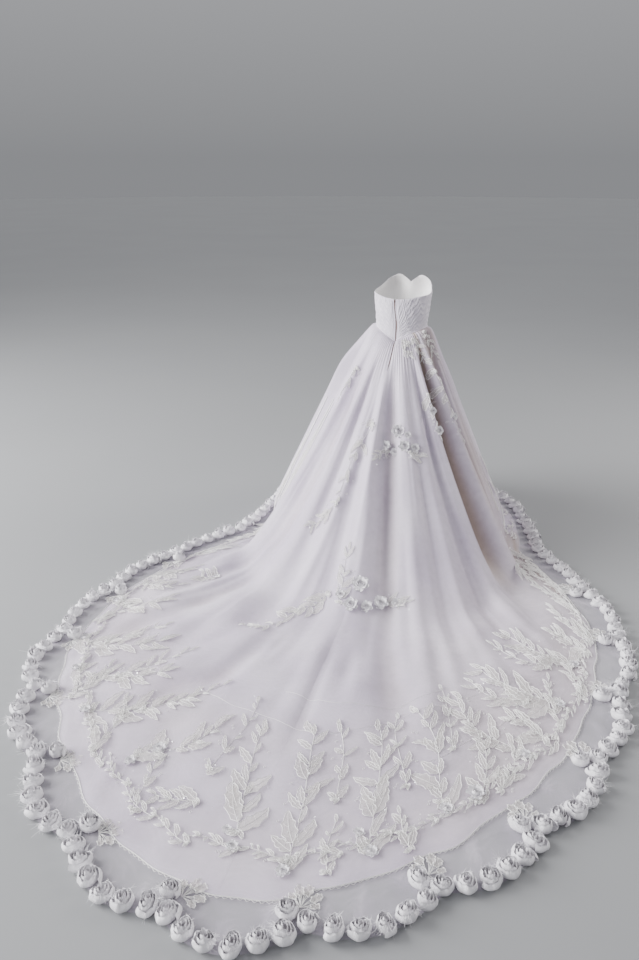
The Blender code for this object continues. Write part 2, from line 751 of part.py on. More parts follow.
def back_zip(finish):
    """The tape of the hidden zip, behind the gap in the back of the bodice and skirt."""
    sheets = []
    for depth in (ZIP_TAPE_GAP, ZIP_TAPE_GAP + ZIP_TAPE_WALL):
        rows = []
        for row in ZIP_BODICE_ROWS:
            up = row / (BODICE_ROWS - 1)
            turn = math.degrees(ZIP_TAPE_WIDTH / 2 / 0.1)
            rows.append([bodice_point(turn * side, up, -depth) for side in (-1, 0, 1)])
        for place in ZIP_SKIRT_ROWS:
            turn = math.degrees(ZIP_TAPE_WIDTH / 2 / skirt_base(0, place).y)
            rows.append([skirt_point(turn * side, place, -depth) for side in (-1, 0, 1)])
        sheets.append(rows)
    return wall("back_zip", sheets[0], sheets[1], finish)


def main():
    clear_scene()
    floor = bpy.data.objects.new("floor_under_wearer", None)
    floor.location = (0, 0, -WAIST_HEIGHT)
    bpy.context.scene.collection.objects.link(floor)
    satin = material("satin", (0.90, 0.89, 0.90), 0.45)
    net = material("tulle", (0.93, 0.93, 0.95), 0.60, 0.5)
    pleated = material("pleated_tulle", (0.92, 0.91, 0.93), 0.55)
    organza = material("organza", (0.94, 0.93, 0.94), 0.50)
    lace = material("corded_lace", (0.88, 0.85, 0.82), 0.60)
    tape = material("zip_tape", (0.80, 0.77, 0.74), 0.70)
    for name, first, last, columns in BODICE_PANELS:
        bodice_panel(name, first, last, columns, pleated)
    waist_cord("waist_cord_left", 0, 180, satin)
    waist_cord("waist_cord_right", 180, 360, satin)
    back_zip(tape)
    for name, first, last, columns in SKIRT_PANELS:
        satin_panel(name, first, last, columns, satin)
        net_panel(name, first, last, columns, net)
    rose_trims(organza)
    for name, flowers in CLUSTERS:
        flower_cluster(name, flowers, organza)
    for i, (root, start, tip, end, pairs) in enumerate(SPRAYS):
        lace_spray(f"lace_spray_{i + 1:02d}", (root, start), (tip, end), pairs, lace)


main()
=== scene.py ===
"""Looks of a strapless wedding gown with a long train, dressed over its solids.

The row's origin is the middle of the waist, WAIST_HEIGHT above the floor. Angles are in
degrees round the body from the train's centre line, positive towards +X. A place on the
skirt is 0 at the waist seam, 1 where the cloth meets the floor, 2 at the satin's hem and
3 at the outer edge of the net. The tables down to CUPS are those of the solids.
"""

import math

import bpy
import numpy as np
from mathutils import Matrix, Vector


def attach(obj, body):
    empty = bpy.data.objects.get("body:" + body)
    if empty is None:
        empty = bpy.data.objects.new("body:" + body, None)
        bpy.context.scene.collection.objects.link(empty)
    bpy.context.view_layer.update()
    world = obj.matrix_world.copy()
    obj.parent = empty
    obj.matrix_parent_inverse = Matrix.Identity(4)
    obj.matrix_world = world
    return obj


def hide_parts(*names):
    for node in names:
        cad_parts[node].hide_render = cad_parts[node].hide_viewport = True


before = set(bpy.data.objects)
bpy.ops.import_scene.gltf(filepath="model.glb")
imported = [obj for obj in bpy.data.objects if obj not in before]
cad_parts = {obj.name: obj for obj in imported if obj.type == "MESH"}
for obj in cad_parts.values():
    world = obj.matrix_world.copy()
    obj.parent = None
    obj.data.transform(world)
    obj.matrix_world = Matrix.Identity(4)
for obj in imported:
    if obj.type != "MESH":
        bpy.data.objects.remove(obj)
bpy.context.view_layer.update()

# Sizes in metres
WAIST_HEIGHT = 1.10
BODY_TURN = 8.0
BODICE_WALL = 0.0022
SKIRT_JOIN = 0.0006
ROSE_RADIUS = 0.0355
ROSE_HEIGHT = 0.028
LOBES = 22
ROSES_PER_LOBE = 6
LOBES_PER_TRIM = 2
SCALLOP_DEPTH = 0.060
FRONT_SCALLOP = 0.35
INNER_ROSE_LEAST_HEM = 1.15
FIRST_CUSP_ANGLE = 2.8
INNER_ROSE_DISTANCE = 0.068
NET_BEYOND_ROSES = 0.018
ROSE_SEAT_ON_TRAIN = 0.0036
ROSE_SEAT_AT_FRONT = 0.0018

# Rose line: angle round the body, distance from the body's axis
HEM_RADIUS = [
    (-180, 0.75), (-140, 0.75), (-105, 0.73), (-92, 0.74), (-82, 0.79), (-72, 0.90),
    (-60, 1.22), (-50, 1.50), (-40, 1.75), (-30, 2.05), (-20, 2.32), (-10, 2.54),
    (0, 2.67), (10, 2.57), (20, 2.37), (30, 2.14), (40, 1.81), (50, 1.43), (60, 1.04),
    (68, 0.85), (80, 0.75), (95, 0.74), (120, 0.75), (180, 0.75),
]
# Net shown beyond the satin underskirt: angle, width of the clear border
BORDER_WIDTH = [
    (-180, 0.06), (-90, 0.07), (-70, 0.16), (-60, 0.20), (-45, 0.15), (-20, 0.17),
    (0, 0.13), (20, 0.14), (42, 0.15), (58, 0.20), (68, 0.14), (85, 0.06), (180, 0.06),
]
# Where the skirt first meets the floor: angle, distance from the body's axis
TOUCH_RADIUS = [
    (-180, 0.62), (-100, 0.60), (-80, 0.62), (-66, 0.69), (-50, 0.90), (-25, 1.15),
    (0, 1.22), (25, 1.15), (50, 0.90), (66, 0.67), (85, 0.62), (100, 0.61), (180, 0.62),
]
# The skirt's drop from waist to floor: place, then the shares of the way down and of the
# way out, at the front and sides and over the train
DROP = [
    (0.00, 0.000, 0.000, 0.000, 0.000), (0.04, 0.012, 0.046, 0.012, 0.020),
    (0.10, 0.055, 0.095, 0.055, 0.058), (0.20, 0.150, 0.175, 0.150, 0.125),
    (0.34, 0.300, 0.310, 0.300, 0.225), (0.50, 0.480, 0.490, 0.480, 0.360),
    (0.66, 0.660, 0.675, 0.660, 0.515), (0.80, 0.830, 0.845, 0.830, 0.680),
    (0.90, 0.930, 0.945, 0.930, 0.815), (0.96, 0.975, 0.984, 0.980, 0.905),
    (1.00, 1.000, 1.000, 1.000, 1.000),
]
# Folds: angle, half width, height, where it starts and ends
FOLDS = [
    (1, 7, 0.030, 0.10, 1.40), (-9, 6, -0.022, 0.12, 0.95),
    (-19, 8, 0.018, 0.05, 1.40), (-29, 7, 0.020, 0.10, 1.40),
    (-40, 6, 0.034, 0.03, 1.40), (-48, 6, -0.055, 0.02, 1.00),
    (-57, 6, 0.034, 0.03, 1.40), (-67, 6, -0.024, 0.04, 0.97),
    (-79, 9, 0.018, 0.02, 1.02), (-98, 10, 0.016, 0.03, 1.02),
    (-118, 10, 0.030, 0.04, 1.02), (-138, 10, 0.024, 0.06, 1.02),
    (-158, 10, 0.028, 0.05, 1.02), (-178, 9, 0.022, 0.08, 1.02),
    (12, 6, 0.018, 0.20, 1.40), (24, 7, 0.024, 0.08, 1.40),
    (35, 6, -0.020, 0.10, 0.96), (46, 7, 0.028, 0.06, 1.40),
    (58, 7, -0.024, 0.04, 0.97), (72, 10, 0.080, 0.01, 1.02),
    (88, 11, 0.085, 0.01, 1.02), (107, 10, 0.070, 0.01, 1.02),
    (127, 10, 0.024, 0.06, 1.02), (147, 10, 0.028, 0.05, 1.02),
    (166, 9, 0.022, 0.08, 1.02),
]
# Height over the floor of the train's cloth: place, height
TRAIN_LIFT = [(0.75, 0.008), (1.0, 0.012), (1.45, 0.020), (2.0, 0.0), (3.0, 0.0)]
SKIRT_PANELS = [
    ("train_left", 0, 42), ("side_left", 42, 102), ("front", 102, 258),
    ("side_right", 258, 318), ("train_right", 318, 360),
]
# Bodice sections: height, half width, depth at the back, depth at the front
BODICE_SECTIONS = [
    (1.00, 0.146, 0.108, 0.108), (1.05, 0.134, 0.099, 0.100), (1.10, 0.127, 0.094, 0.096),
    (1.16, 0.132, 0.097, 0.102), (1.22, 0.139, 0.099, 0.112), (1.27, 0.142, 0.100, 0.118),
    (1.32, 0.139, 0.098, 0.116), (1.38, 0.132, 0.094, 0.106),
]
# Upper and lower edge of the bodice: angle from the centre back, height
TOP_EDGE = [
    (0, 1.242), (30, 1.247), (60, 1.258), (90, 1.268), (115, 1.286),
    (140, 1.322), (155, 1.335), (170, 1.316), (180, 1.298),
]
WAIST_EDGE = [
    (0, 1.036), (20, 1.056), (45, 1.078), (70, 1.094), (90, 1.100),
    (115, 1.094), (140, 1.076), (160, 1.056), (180, 1.042),
]
# Bodice panels: name, first angle, last angle, strength of its pleats
BODICE_PANELS = [
    ("back_left", 0, 40, 0.95), ("side_back_left", 40, 92, 0.95),
    ("side_front_left", 92, 148, 0.9), ("front", 148, 212, 0.9),
    ("side_front_right", 212, 268, 0.9), ("side_back_right", 268, 320, 1.0),
    ("back_right", 320, 360, 1.0),
]
# Cups: angle from the centre back, height, half width in degrees, half height, depth
CUPS = [(148, 1.275, 30, 0.085, 0.040), (-148, 1.275, 30, 0.085, 0.040)]

# Creases laid one by one: angle at the top and at the bottom, half width, height, start, end
CREASES = [
    (2.0, -9.0, 4.0, 0.012, 0.35, 1.55), (-8.0, -11.5, 3.0, -0.016, 0.40, 1.60),
    (-17.0, -14.5, 2.4, 0.009, 0.60, 1.70), (-19.0, -17.5, 2.0, -0.008, 0.90, 1.75),
    (-0.2, -0.6, 1.2, -0.011, 0.97, 1.62), (1.9, 1.7, 1.8, 0.007, 0.97, 1.62),
    (-3.6, -4.4, 1.6, -0.009, 1.02, 1.45), (-24.0, -22.0, 2.4, -0.008, 0.40, 1.60),
    (-28.0, -27.0, 2.2, 0.007, 0.50, 1.70), (-33.0, -33.5, 2.0, -0.009, 0.30, 1.55),
    (-36.0, -40.0, 2.0, 0.008, 0.10, 1.70), (-55.0, -58.0, 2.5, 0.008, 0.05, 1.60),
    (-62.0, -60.0, 2.0, -0.010, 0.05, 1.20), (18.0, 20.0, 2.6, -0.008, 0.08, 0.98),
    (6.0, 17.0, 2.4, 0.006, 0.18, 1.10), (11.0, 13.0, 2.2, -0.007, 0.70, 1.60),
    (9.0, 18.5, 2.6, -0.010, 1.02, 1.85), (14.0, 22.0, 3.0, 0.008, 1.00, 1.85),
    (31.0, 31.5, 2.4, -0.012, 0.80, 1.88), (27.0, 26.0, 3.0, 0.009, 0.90, 1.80),
    (40.0, 38.0, 2.6, -0.009, 0.50, 1.70), (36.0, 35.0, 2.2, 0.008, 0.60, 1.80),
    (50.0, 47.0, 3.0, -0.010, 0.25, 1.60), (63.0, 55.0, 3.0, 0.009, 0.20, 1.50),
    (80.0, 76.0, 3.0, -0.012, 0.06, 1.00), (97.0, 99.0, 3.0, -0.014, 0.06, 1.00),
    (-73.0, -71.0, 3.0, 0.010, 0.05, 1.10), (-88.0, -90.0, 3.0, -0.012, 0.05, 1.00),
    (-108.0, -107.0, 3.0, -0.012, 0.06, 1.00), (118.0, 117.0, 3.0, -0.012, 0.06, 1.00),
    (-128.0, -129.0, 3.0, -0.012, 0.06, 1.00), (137.0, 138.0, 3.0, -0.012, 0.06, 1.00),
    (-148.0, -147.0, 3.0, -0.012, 0.06, 1.00), (157.0, 156.0, 3.0, -0.012, 0.06, 1.00),
    (-168.0, -168.5, 3.0, -0.012, 0.08, 1.00), (176.0, 177.0, 3.0, -0.010, 0.08, 1.00),
]
FINE_CREASES = 110
GATHERS = 96
# Lace fronds on the train that stand for the solids' sprays: root angle and place, tip
# angle and place, half width, pairs of leaves
FRONDS = [
    (40.0, 1.90, 34.0, 1.46, 0.060, 6), (33.5, 1.92, 25.0, 1.46, 0.062, 7),
    (28.0, 1.90, 18.6, 1.52, 0.060, 7), (21.0, 1.86, 13.2, 1.52, 0.062, 7),
    (12.5, 1.80, 7.0, 1.52, 0.056, 6), (0.6, 1.84, 2.8, 1.48, 0.066, 7),
    (-3.8, 1.90, -2.2, 1.46, 0.068, 8), (-9.2, 1.92, -9.0, 1.46, 0.070, 8),
    (-15.2, 1.84, -13.8, 1.42, 0.066, 7), (-24.0, 1.82, -19.4, 1.42, 0.066, 7),
    (-31.5, 1.78, -24.5, 1.30, 0.066, 7), (-39.0, 1.76, -34.0, 1.20, 0.064, 7),
]
# Smaller lace sewn between and above them: the same columns
SMALL_FRONDS = [
    (5.0, 1.80, 8.6, 1.84, 0.045, 4), (9.0, 1.92, 11.0, 1.70, 0.045, 4),
    (-6.5, 1.96, -6.6, 1.80, 0.040, 3), (-12.2, 1.96, -11.6, 1.82, 0.040, 3),
    (-18.6, 1.92, -20.6, 1.66, 0.055, 5), (-20.6, 1.93, -23.4, 1.80, 0.050, 4),
    (-27.5, 1.86, -24.6, 1.66, 0.055, 5), (-30.0, 1.90, -33.6, 1.66, 0.055, 5),
    (-36.0, 1.96, -38.6, 1.78, 0.055, 5), (-43.5, 1.90, -42.0, 1.50, 0.060, 6),
    (-47.0, 1.94, -49.0, 1.48, 0.060, 6), (-53.0, 1.90, -54.5, 1.36, 0.060, 6),
    (-58.5, 1.92, -60.5, 1.30, 0.058, 6), (-64.0, 1.92, -66.0, 1.20, 0.055, 6),
    (-70.0, 1.90, -72.0, 1.10, 0.050, 5), (16.5, 1.92, 19.5, 1.72, 0.050, 5),
    (24.5, 1.94, 26.0, 1.74, 0.050, 5), (37.0, 1.96, 38.5, 1.74, 0.050, 5),
    (46.0, 1.92, 44.0, 1.46, 0.058, 6), (53.0, 1.92, 52.0, 1.36, 0.058, 6),
    (60.0, 1.90, 60.5, 1.24, 0.055, 6), (67.0, 1.88, 68.5, 1.10, 0.050, 5),
    (5.5, 0.38, 12.5, 0.66, 0.045, 6), (13.0, 0.66, 21.5, 0.74, 0.040, 5),
    (6.0, 0.90, 12.0, 0.97, 0.045, 4), (11.5, 0.97, 18.0, 1.14, 0.042, 5),
    (2.0, 0.92, 2.6, 0.76, 0.045, 4), (-9.5, 0.90, -14.5, 0.90, 0.035, 3),
    (45.0, 0.22, 56.0, 0.36, 0.032, 5), (38.0, 1.14, 42.0, 1.28, 0.040, 3),
    (-55.0, 0.22, -58.0, 0.50, 0.036, 6), (-40.0, 0.30, -41.5, 0.46, 0.032, 5),
    (-42.0, 0.06, -52.0, 0.18, 0.028, 4), (-24.0, 0.05, -33.0, 0.14, 0.026, 4),
    (-66.0, 0.04, -76.0, 0.18, 0.028, 4), (-57.0, 1.02, -56.0, 1.30, 0.050, 5),
    (-19.5, 0.48, -27.0, 0.50, 0.026, 3), (-7.0, 0.46, -1.0, 0.50, 0.024, 3),
    (43.0, 1.80, 39.0, 1.42, 0.046, 4), (31.0, 1.78, 27.5, 1.44, 0.046, 4),
    (23.5, 1.74, 19.5, 1.38, 0.046, 4), (16.6, 1.70, 10.5, 1.40, 0.044, 4),
    (5.6, 1.70, 5.4, 1.40, 0.042, 4), (-6.2, 1.74, -5.0, 1.44, 0.042, 4),
    (-12.2, 1.74, -11.6, 1.42, 0.046, 4), (-17.2, 1.66, -17.4, 1.34, 0.046, 4),
    (-28.0, 1.64, -22.0, 1.36, 0.046, 4), (-35.0, 1.62, -29.0, 1.20, 0.044, 4),
]
# Lace round the hidden front, in even steps: first angle, last angle, count
FRONT_FRONDS = (80.0, 280.0, 14)
# Garland of small lace along the satin's hem: first angle, last angle, count
HEM_GARLAND = (-72.0, 72.0, 40)
# Cloth flowers of the clusters: angle, place, radius
HIGH_FLOWERS = [
    (-13.5, 0.40, 0.026), (-5.5, 0.445, 0.020), (-16.5, 0.455, 0.022), (-22.5, 0.465, 0.019),
    (-11.0, 0.465, 0.016), (-19.0, 0.42, 0.014),
]
LOW_FLOWERS = [
    (-2.2, 0.865, 0.030), (-0.8, 0.925, 0.026), (-4.4, 0.92, 0.022), (-7.6, 0.90, 0.026),
    (-11.6, 0.90, 0.018), (2.2, 0.90, 0.018),
]
# Small cloth flowers at the roots of the fronds: angle, place, radius
LOOSE_FLOWERS = [
    (-9.4, 1.93, 0.017), (-8.4, 1.86, 0.014), (-3.6, 1.93, 0.017), (0.4, 1.88, 0.016),
    (1.4, 1.84, 0.013), (-15.4, 1.87, 0.018), (-18.2, 1.89, 0.024), (-24.4, 1.86, 0.017),
    (-32.0, 1.82, 0.018), (-39.6, 1.80, 0.017), (11.3, 1.74, 0.020), (12.6, 1.83, 0.016),
    (21.4, 1.89, 0.017), (28.6, 1.92, 0.016), (34.0, 1.94, 0.017), (40.6, 1.93, 0.016),
    (-40.0, 0.36, 0.016), (-41.0, 0.43, 0.018), (-56.5, 0.40, 0.015), (38.2, 1.13, 0.015),
]
# A fan of corded lace: turn of each finger from its root, length
FAN_FINGERS = [(-25, 0.050), (8, 0.064), (40, 0.070), (72, 0.066), (104, 0.050)]


# Reading the tables


def curve(rows, x, column=1):
    """A smooth curve through a table, read at every x."""
    xs = np.array([row[0] for row in rows], float)
    ys = np.array([row[column] for row in rows], float)
    x = np.asarray(x, float)
    i = np.clip(np.searchsorted(xs, x, side="left") - 1, 0, len(xs) - 2)
    before, after = np.maximum(i - 1, 0), np.minimum(i + 2, len(xs) - 1)
    slope0 = (ys[i + 1] - ys[before]) / (xs[i + 1] - xs[before])
    slope1 = (ys[after] - ys[i]) / (xs[after] - xs[i])
    width = xs[i + 1] - xs[i]
    t = np.clip((x - xs[i]) / width, 0.0, 1.0)
    start = ys[i] * (1 + 2 * t) * (1 - t) ** 2 + ys[i + 1] * t * t * (3 - 2 * t)
    return start + width * (slope0 * t * (1 - t) ** 2 - slope1 * t * t * (1 - t))


def wrapped(angle):
    return (np.asarray(angle, float) + 180.0) % 360.0 - 180.0


def smooth_step(t):
    t = np.clip(t, 0.0, 1.0)
    return t * t * (3 - 2 * t)


def round_body(angle, radius, height):
    a = np.radians(angle)
    parts = np.broadcast_arrays(radius * np.sin(a), radius * np.cos(a), height)
    return np.stack(parts, axis=-1)


def unit(vectors):
    return vectors / np.maximum(np.linalg.norm(vectors, axis=-1, keepdims=True), 1e-12)


def ripple(x, y, seed, count=5):
    """Soft uneven waves between -1 and 1, over two measures."""
    rng = np.random.default_rng(seed)
    total = np.zeros(np.broadcast(x, y).shape)
    for wave in range(count):
        turn, phase = rng.uniform(0, 2 * math.pi, 2)
        scale = 1.0 + 0.55 * wave
        total += np.sin(scale * (x * math.cos(turn) + y * math.sin(turn)) + phase)
    return total / count


# The bodice's form


def bodice_radius(angle, height):
    half_width = curve(BODICE_SECTIONS, height, 1)
    a = np.radians(angle)
    back, front = curve(BODICE_SECTIONS, height, 2), curve(BODICE_SECTIONS, height, 3)
    depth = np.where(np.cos(a) > 0, back, front)
    radius = 1.0 / np.sqrt((np.sin(a) / half_width) ** 2 + (np.cos(a) / depth) ** 2)
    for at, level, half_angle, half_height, cup in CUPS:
        across = wrapped(angle - at) / half_angle
        up = (height - level) / half_height
        radius = radius + cup * np.exp(-1.6 * (across * across + up * up))
    return radius


def waist_height(angle):
    return curve(WAIST_EDGE, np.abs(wrapped(angle)))


def top_height(angle):
    return curve(TOP_EDGE, np.abs(wrapped(angle)))


def bodice_point(angle, up, lift):
    low = waist_height(angle)
    height = low + (top_height(angle) - low) * up
    return round_body(angle + BODY_TURN, bodice_radius(angle, height) + lift, height)


def closure_line(height):
    """Sideways drift of the hidden closure, which the worn cloth pulls out of true."""
    drift = np.interp(height, [0.88, 1.035, 1.24], [0.004, -0.007, 0.006])
    return drift + 0.0014 * np.sin(np.asarray(height) * 38.0)


def ruching(angle, up, strength):
    """Relief of the tulle's pleats, which fan out from the point of the waist."""
    turn = wrapped(angle)
    low = waist_height(angle)
    height = low + (top_height(angle) - low) * up
    girth = 0.135 * math.pi
    from_back = np.abs(np.radians(turn)) * 0.135
    at_back = from_back < girth / 2
    away = np.where(at_back, from_back, girth - from_back)
    root = np.where(at_back, 0.998, 1.004)
    fan = np.arctan2(height - root, away + 0.045)
    jitter = 0.80 * ripple(turn * 0.16, height * 26.0, 5) + 0.30 * ripple(turn * 0.5, height * 70.0, 6)
    phase = fan * 13.0 + jitter
    share = phase - np.floor(phase)
    pleat = smooth_step(share / 0.22) * (1 - share) ** 0.7
    uneven = 0.70 + 0.55 * ripple(turn * 0.14 + 3.0, height * 40.0, 8)
    calm = smooth_step((from_back - 0.010) / 0.010)
    return 0.0044 * strength * pleat * uneven * calm


# The skirt's form


def along_hem(angle):
    """Length along the plain rose line from the front, and the whole length."""
    degrees = np.arange(-180, 181)
    line = round_body(degrees, curve(HEM_RADIUS, degrees), 0.0)
    steps = np.linalg.norm(np.diff(line, axis=0), axis=1)
    lengths = np.concatenate([[0.0], np.cumsum(steps)])
    return np.interp(wrapped(angle), degrees, lengths), lengths[-1]


def train_share(angle):
    return smooth_step((curve(HEM_RADIUS, wrapped(angle)) - 0.90) / 1.0)


def rose_line(angle):
    """Distance of the scalloped line of roses from the body's axis."""
    length, whole = along_hem(angle)
    lobe = LOBES * (length - along_hem(FIRST_CUSP_ANGLE)[0]) / whole
    depth = SCALLOP_DEPTH * (FRONT_SCALLOP + (1 - FRONT_SCALLOP) * train_share(angle))
    return curve(HEM_RADIUS, wrapped(angle)) + depth * (np.abs(np.sin(math.pi * lobe)) - 0.62)


def satin_hem(angle):
    """Distance of the satin's edge, which lies in slow uneven waves on the train."""
    turn = wrapped(angle)
    wave = 0.016 * ripple(turn * 0.55, turn * 0.21, 11, 4) * train_share(angle)
    return curve(HEM_RADIUS, turn) - curve(BORDER_WIDTH, turn) + wave


def net_edge(angle):
    return rose_line(angle) + NET_BEYOND_ROSES


def skirt_base(angle, place):
    """Points of the skirt's plain form, before its folds."""
    waist = waist_height(angle) - SKIRT_JOIN
    waist_radius = bodice_radius(angle, waist)
    touch = curve(TOUCH_RADIUS, wrapped(angle))
    share = train_share(angle)
    down = curve(DROP, place, 1)
    out = curve(DROP, place, 2)
    down = down + (curve(DROP, place, 3) - down) * share
    out = out + (curve(DROP, place, 4) - out) * share
    hem = satin_hem(angle)
    lying = touch + (hem - touch) * np.clip(place - 1, 0, 1)
    lying = lying + (net_edge(angle) - hem) * np.clip(place - 2, 0, 1)
    radius = np.where(place < 1, waist_radius + (touch - waist_radius) * out, lying)
    hung = np.where(place < 1, waist * (1 - down), 0.0)
    puff = curve(TRAIN_LIFT, np.clip(place, 0.75, 3.0)) * share
    height = 0.5 * (hung + puff + np.sqrt((hung - puff) ** 2 + (0.007 * share * (place < 2)) ** 2))
    turned = angle + BODY_TURN * np.clip(1 - place, 0, 1) ** 2
    return round_body(turned, radius, height)


def skirt_normal(angle, place):
    step = 0.01
    along = skirt_base(angle, place + step) - skirt_base(angle, np.maximum(place - step, 0.0))
    across = skirt_base(angle + 0.5, place) - skirt_base(angle - 0.5, place)
    normal = unit(np.cross(across, along))
    flat = smooth_step((place - 1.0) / 0.1)[..., None]
    return unit(normal * (1 - flat) + np.array([0.0, 0.0, 1.0]) * flat)


def fold_height(angle, place):
    """The large folds, as in the solids."""
    height = np.zeros(np.broadcast(angle, place).shape)
    for at, half_width, size, start, end in FOLDS:
        across = np.minimum(np.abs(wrapped(angle - at)) / half_width, 1.0)
        grown = smooth_step((place - start) / 0.30)
        fading = smooth_step((end - place) / (0.45 if end > 1.1 else 0.18))
        height += size * 0.5 * (1 + np.cos(math.pi * across)) * grown * fading
    return height


def fine_creases():
    """Rows like those of CREASES, for the small creases between the large ones."""
    rng = np.random.default_rng(17)
    rows = []
    for i in range(FINE_CREASES):
        at = -180 + 360 * (i + rng.uniform(0.1, 0.9)) / FINE_CREASES
        start = rng.uniform(0.05, 0.9)
        end = min(start + rng.uniform(0.4, 1.1), 1.95)
        size = rng.uniform(0.0012, 0.0034) * rng.choice([-1, 1])
        rows.append((at, at + rng.uniform(-2.5, 2.5), rng.uniform(0.6, 1.5), size, start, end))
    return rows


ALL_CREASES = CREASES + fine_creases()


def crease_height(angle, place):
    height = np.zeros(np.broadcast(angle, place).shape)
    for top, bottom, half_width, size, start, end in ALL_CREASES:
        share = np.clip((place - start) / (end - start), 0, 1)
        at = top + (bottom - top) * share
        across = np.minimum(np.abs(wrapped(angle - at)) / half_width, 1.0)
        ends = smooth_step((place - start) / 0.22) * smooth_step((end - place) / 0.30)
        height += size * (1 - across * across) ** 2 * ends
    return height


def gather_height(angle, place):
    """Small gathers under the waist seam, deeper on the right than on the left."""
    turn = wrapped(angle)
    phase = turn / 360.0 * GATHERS + 0.55 * ripple(turn * 0.11, turn * 0.05, 21, 4)
    reach = 0.16 + 0.10 * ripple(turn * 0.35, turn * 0.2, 22, 4)
    deep = 0.0026 + 0.0024 * smooth_step((-turn - 4.0) / 18.0) * smooth_step((95.0 + turn) / 20.0)
    wave = 0.5 + 0.5 * np.cos(2 * math.pi * phase)
    opening = smooth_step((place - 0.002) / 0.03)
    return deep * wave ** 1.4 * opening * smooth_step(1 - place / np.maximum(reach * 2, 0.1))


def rumple(points, place, share):
    """Slow uneven swells of the cloth where it lies on the floor."""
    near = smooth_step((place - 0.85) / 0.3) * smooth_step((2.0 - place) / 0.35)
    x, y = points[..., 0], points[..., 1]
    swell = ripple(x * 6.0, y * 6.0, 31, 6) + 0.45 * ripple(x * 17.0, y * 17.0, 32, 5)
    along = np.abs(ripple(x * 4.2 + y * 1.4, y * 3.0 - x * 2.0, 33, 5)) ** 0.6
    return (0.0115 * swell + 0.006 * (0.6 - along)) * near * share


def hem_wrinkles(angle, place, share):
    """The ridge of the lace garland inside the hem, and small folds from it to the hem."""
    turn, length = wrapped(angle), along_hem(angle)[0]
    ridge = np.exp(-(((place - 1.895) / 0.028) ** 2)) * (0.55 + 0.45 * ripple(turn * 0.5, turn * 0.9, 43, 4))
    folds = 0.5 + 0.5 * ripple(length * 24.0, place * 9.0, 44, 5)
    near = smooth_step((place - 1.74) / 0.12) * smooth_step((2.05 - place) / 0.06)
    return (0.0070 * ridge + 0.0060 * folds ** 2) * near * share


def relief(angle, place):
    folds = fold_height(angle, place) + crease_height(angle, place)
    share = train_share(angle)
    swell = rumple(skirt_base(angle, place), place, share)
    total = folds + swell + gather_height(angle, place)
    hem = smooth_step((2.0 - place) / 0.25)
    return np.where(place > 1.0, total * hem + hem_wrinkles(angle, place, share), total)


def skirt_point(angle, place, lift=0.0):
    """Points of the draped skirt, lifted off it by so much."""
    angle, place = np.broadcast_arrays(np.asarray(angle, float), np.asarray(place, float))
    base, normal = skirt_base(angle, place), skirt_normal(angle, place)
    points = base + normal * (relief(angle, place) + lift)[..., None]
    points[..., 2] = np.maximum(points[..., 2], np.maximum(lift, 0.0002))
    return points


def border_wrinkles(angle, place):
    """Height of the net's own small folds across its clear border."""
    length = along_hem(angle)[0]
    beyond = np.clip(place - 2.0, 0, 1)
    rays = np.abs(ripple(length * 30.0, beyond * 1.5, 41, 6)) ** 1.5
    broad = 0.5 + 0.5 * ripple(length * 9.0, beyond * 2.0, 42, 5)
    middle = (np.sin(math.pi * beyond)) ** 0.8
    return (0.010 * rays + 0.006 * broad) * middle * (0.35 + 0.65 * train_share(angle))


NET_LIFT = 0.0042


def net_point(angle, place, lift=0.0):
    """Points of the draped net, down to its outer edge."""
    angle, place = np.broadcast_arrays(np.asarray(angle, float), np.asarray(place, float))
    edge = smooth_step((place - 2.0) / 0.10)
    height = NET_LIFT * (1 - edge) + 0.0013 * edge
    points = skirt_point(angle, place, height + lift)
    points[..., 2] += border_wrinkles(angle, place)
    return points


# Finishes


class Level:
    """A number that varies over a surface, used in expressions."""

    def __init__(self, tree, socket):
        self.tree, self.socket = tree, socket

    def with_other(self, operation, other, swapped=False):
        node = self.tree.nodes.new("ShaderNodeMath")
        node.operation = operation
        for entry, value in zip(node.inputs, (other, self) if swapped else (self, other)):
            feed(self.tree, entry, value)
        return Level(self.tree, node.outputs[0])

    def __add__(self, other):
        return self.with_other("ADD", other)

    def __radd__(self, other):
        return self.with_other("ADD", other, True)

    def __sub__(self, other):
        return self.with_other("SUBTRACT", other)

    def __rsub__(self, other):
        return self.with_other("SUBTRACT", other, True)

    def __mul__(self, other):
        return self.with_other("MULTIPLY", other)

    def __rmul__(self, other):
        return self.with_other("MULTIPLY", other, True)

    def __pow__(self, other):
        return self.with_other("POWER", other)

    def at_most(self, other):
        return self.with_other("MINIMUM", other)

    def at_least(self, other):
        return self.with_other("MAXIMUM", other)


def feed(tree, entry, value):
    """Links a varying value to a socket, or sets a constant on it."""
    if isinstance(value, Level):
        tree.links.new(value.socket, entry)
    elif isinstance(value, bpy.types.NodeSocket):
        tree.links.new(value, entry)
    else:
        entry.default_value = value


class Nodes:
    """A tree of shader nodes."""

    def __init__(self, tree):
        self.tree = tree

    def node(self, kind, settings=None, values=None):
        made = self.tree.nodes.new(kind)
        for setting, value in (settings or {}).items():
            setattr(made, setting, value)
        for entry, value in (values or {}).items():
            feed(self.tree, made.inputs[entry], value)
        return made

    def blend(self, factor, first, second):
        """A colour between two colours."""
        made = self.node("ShaderNodeMix", {"data_type": "RGBA"})
        for entry, value in ((0, factor), (6, first), (7, second)):
            feed(self.tree, made.inputs[entry], value)
        return made.outputs[2]


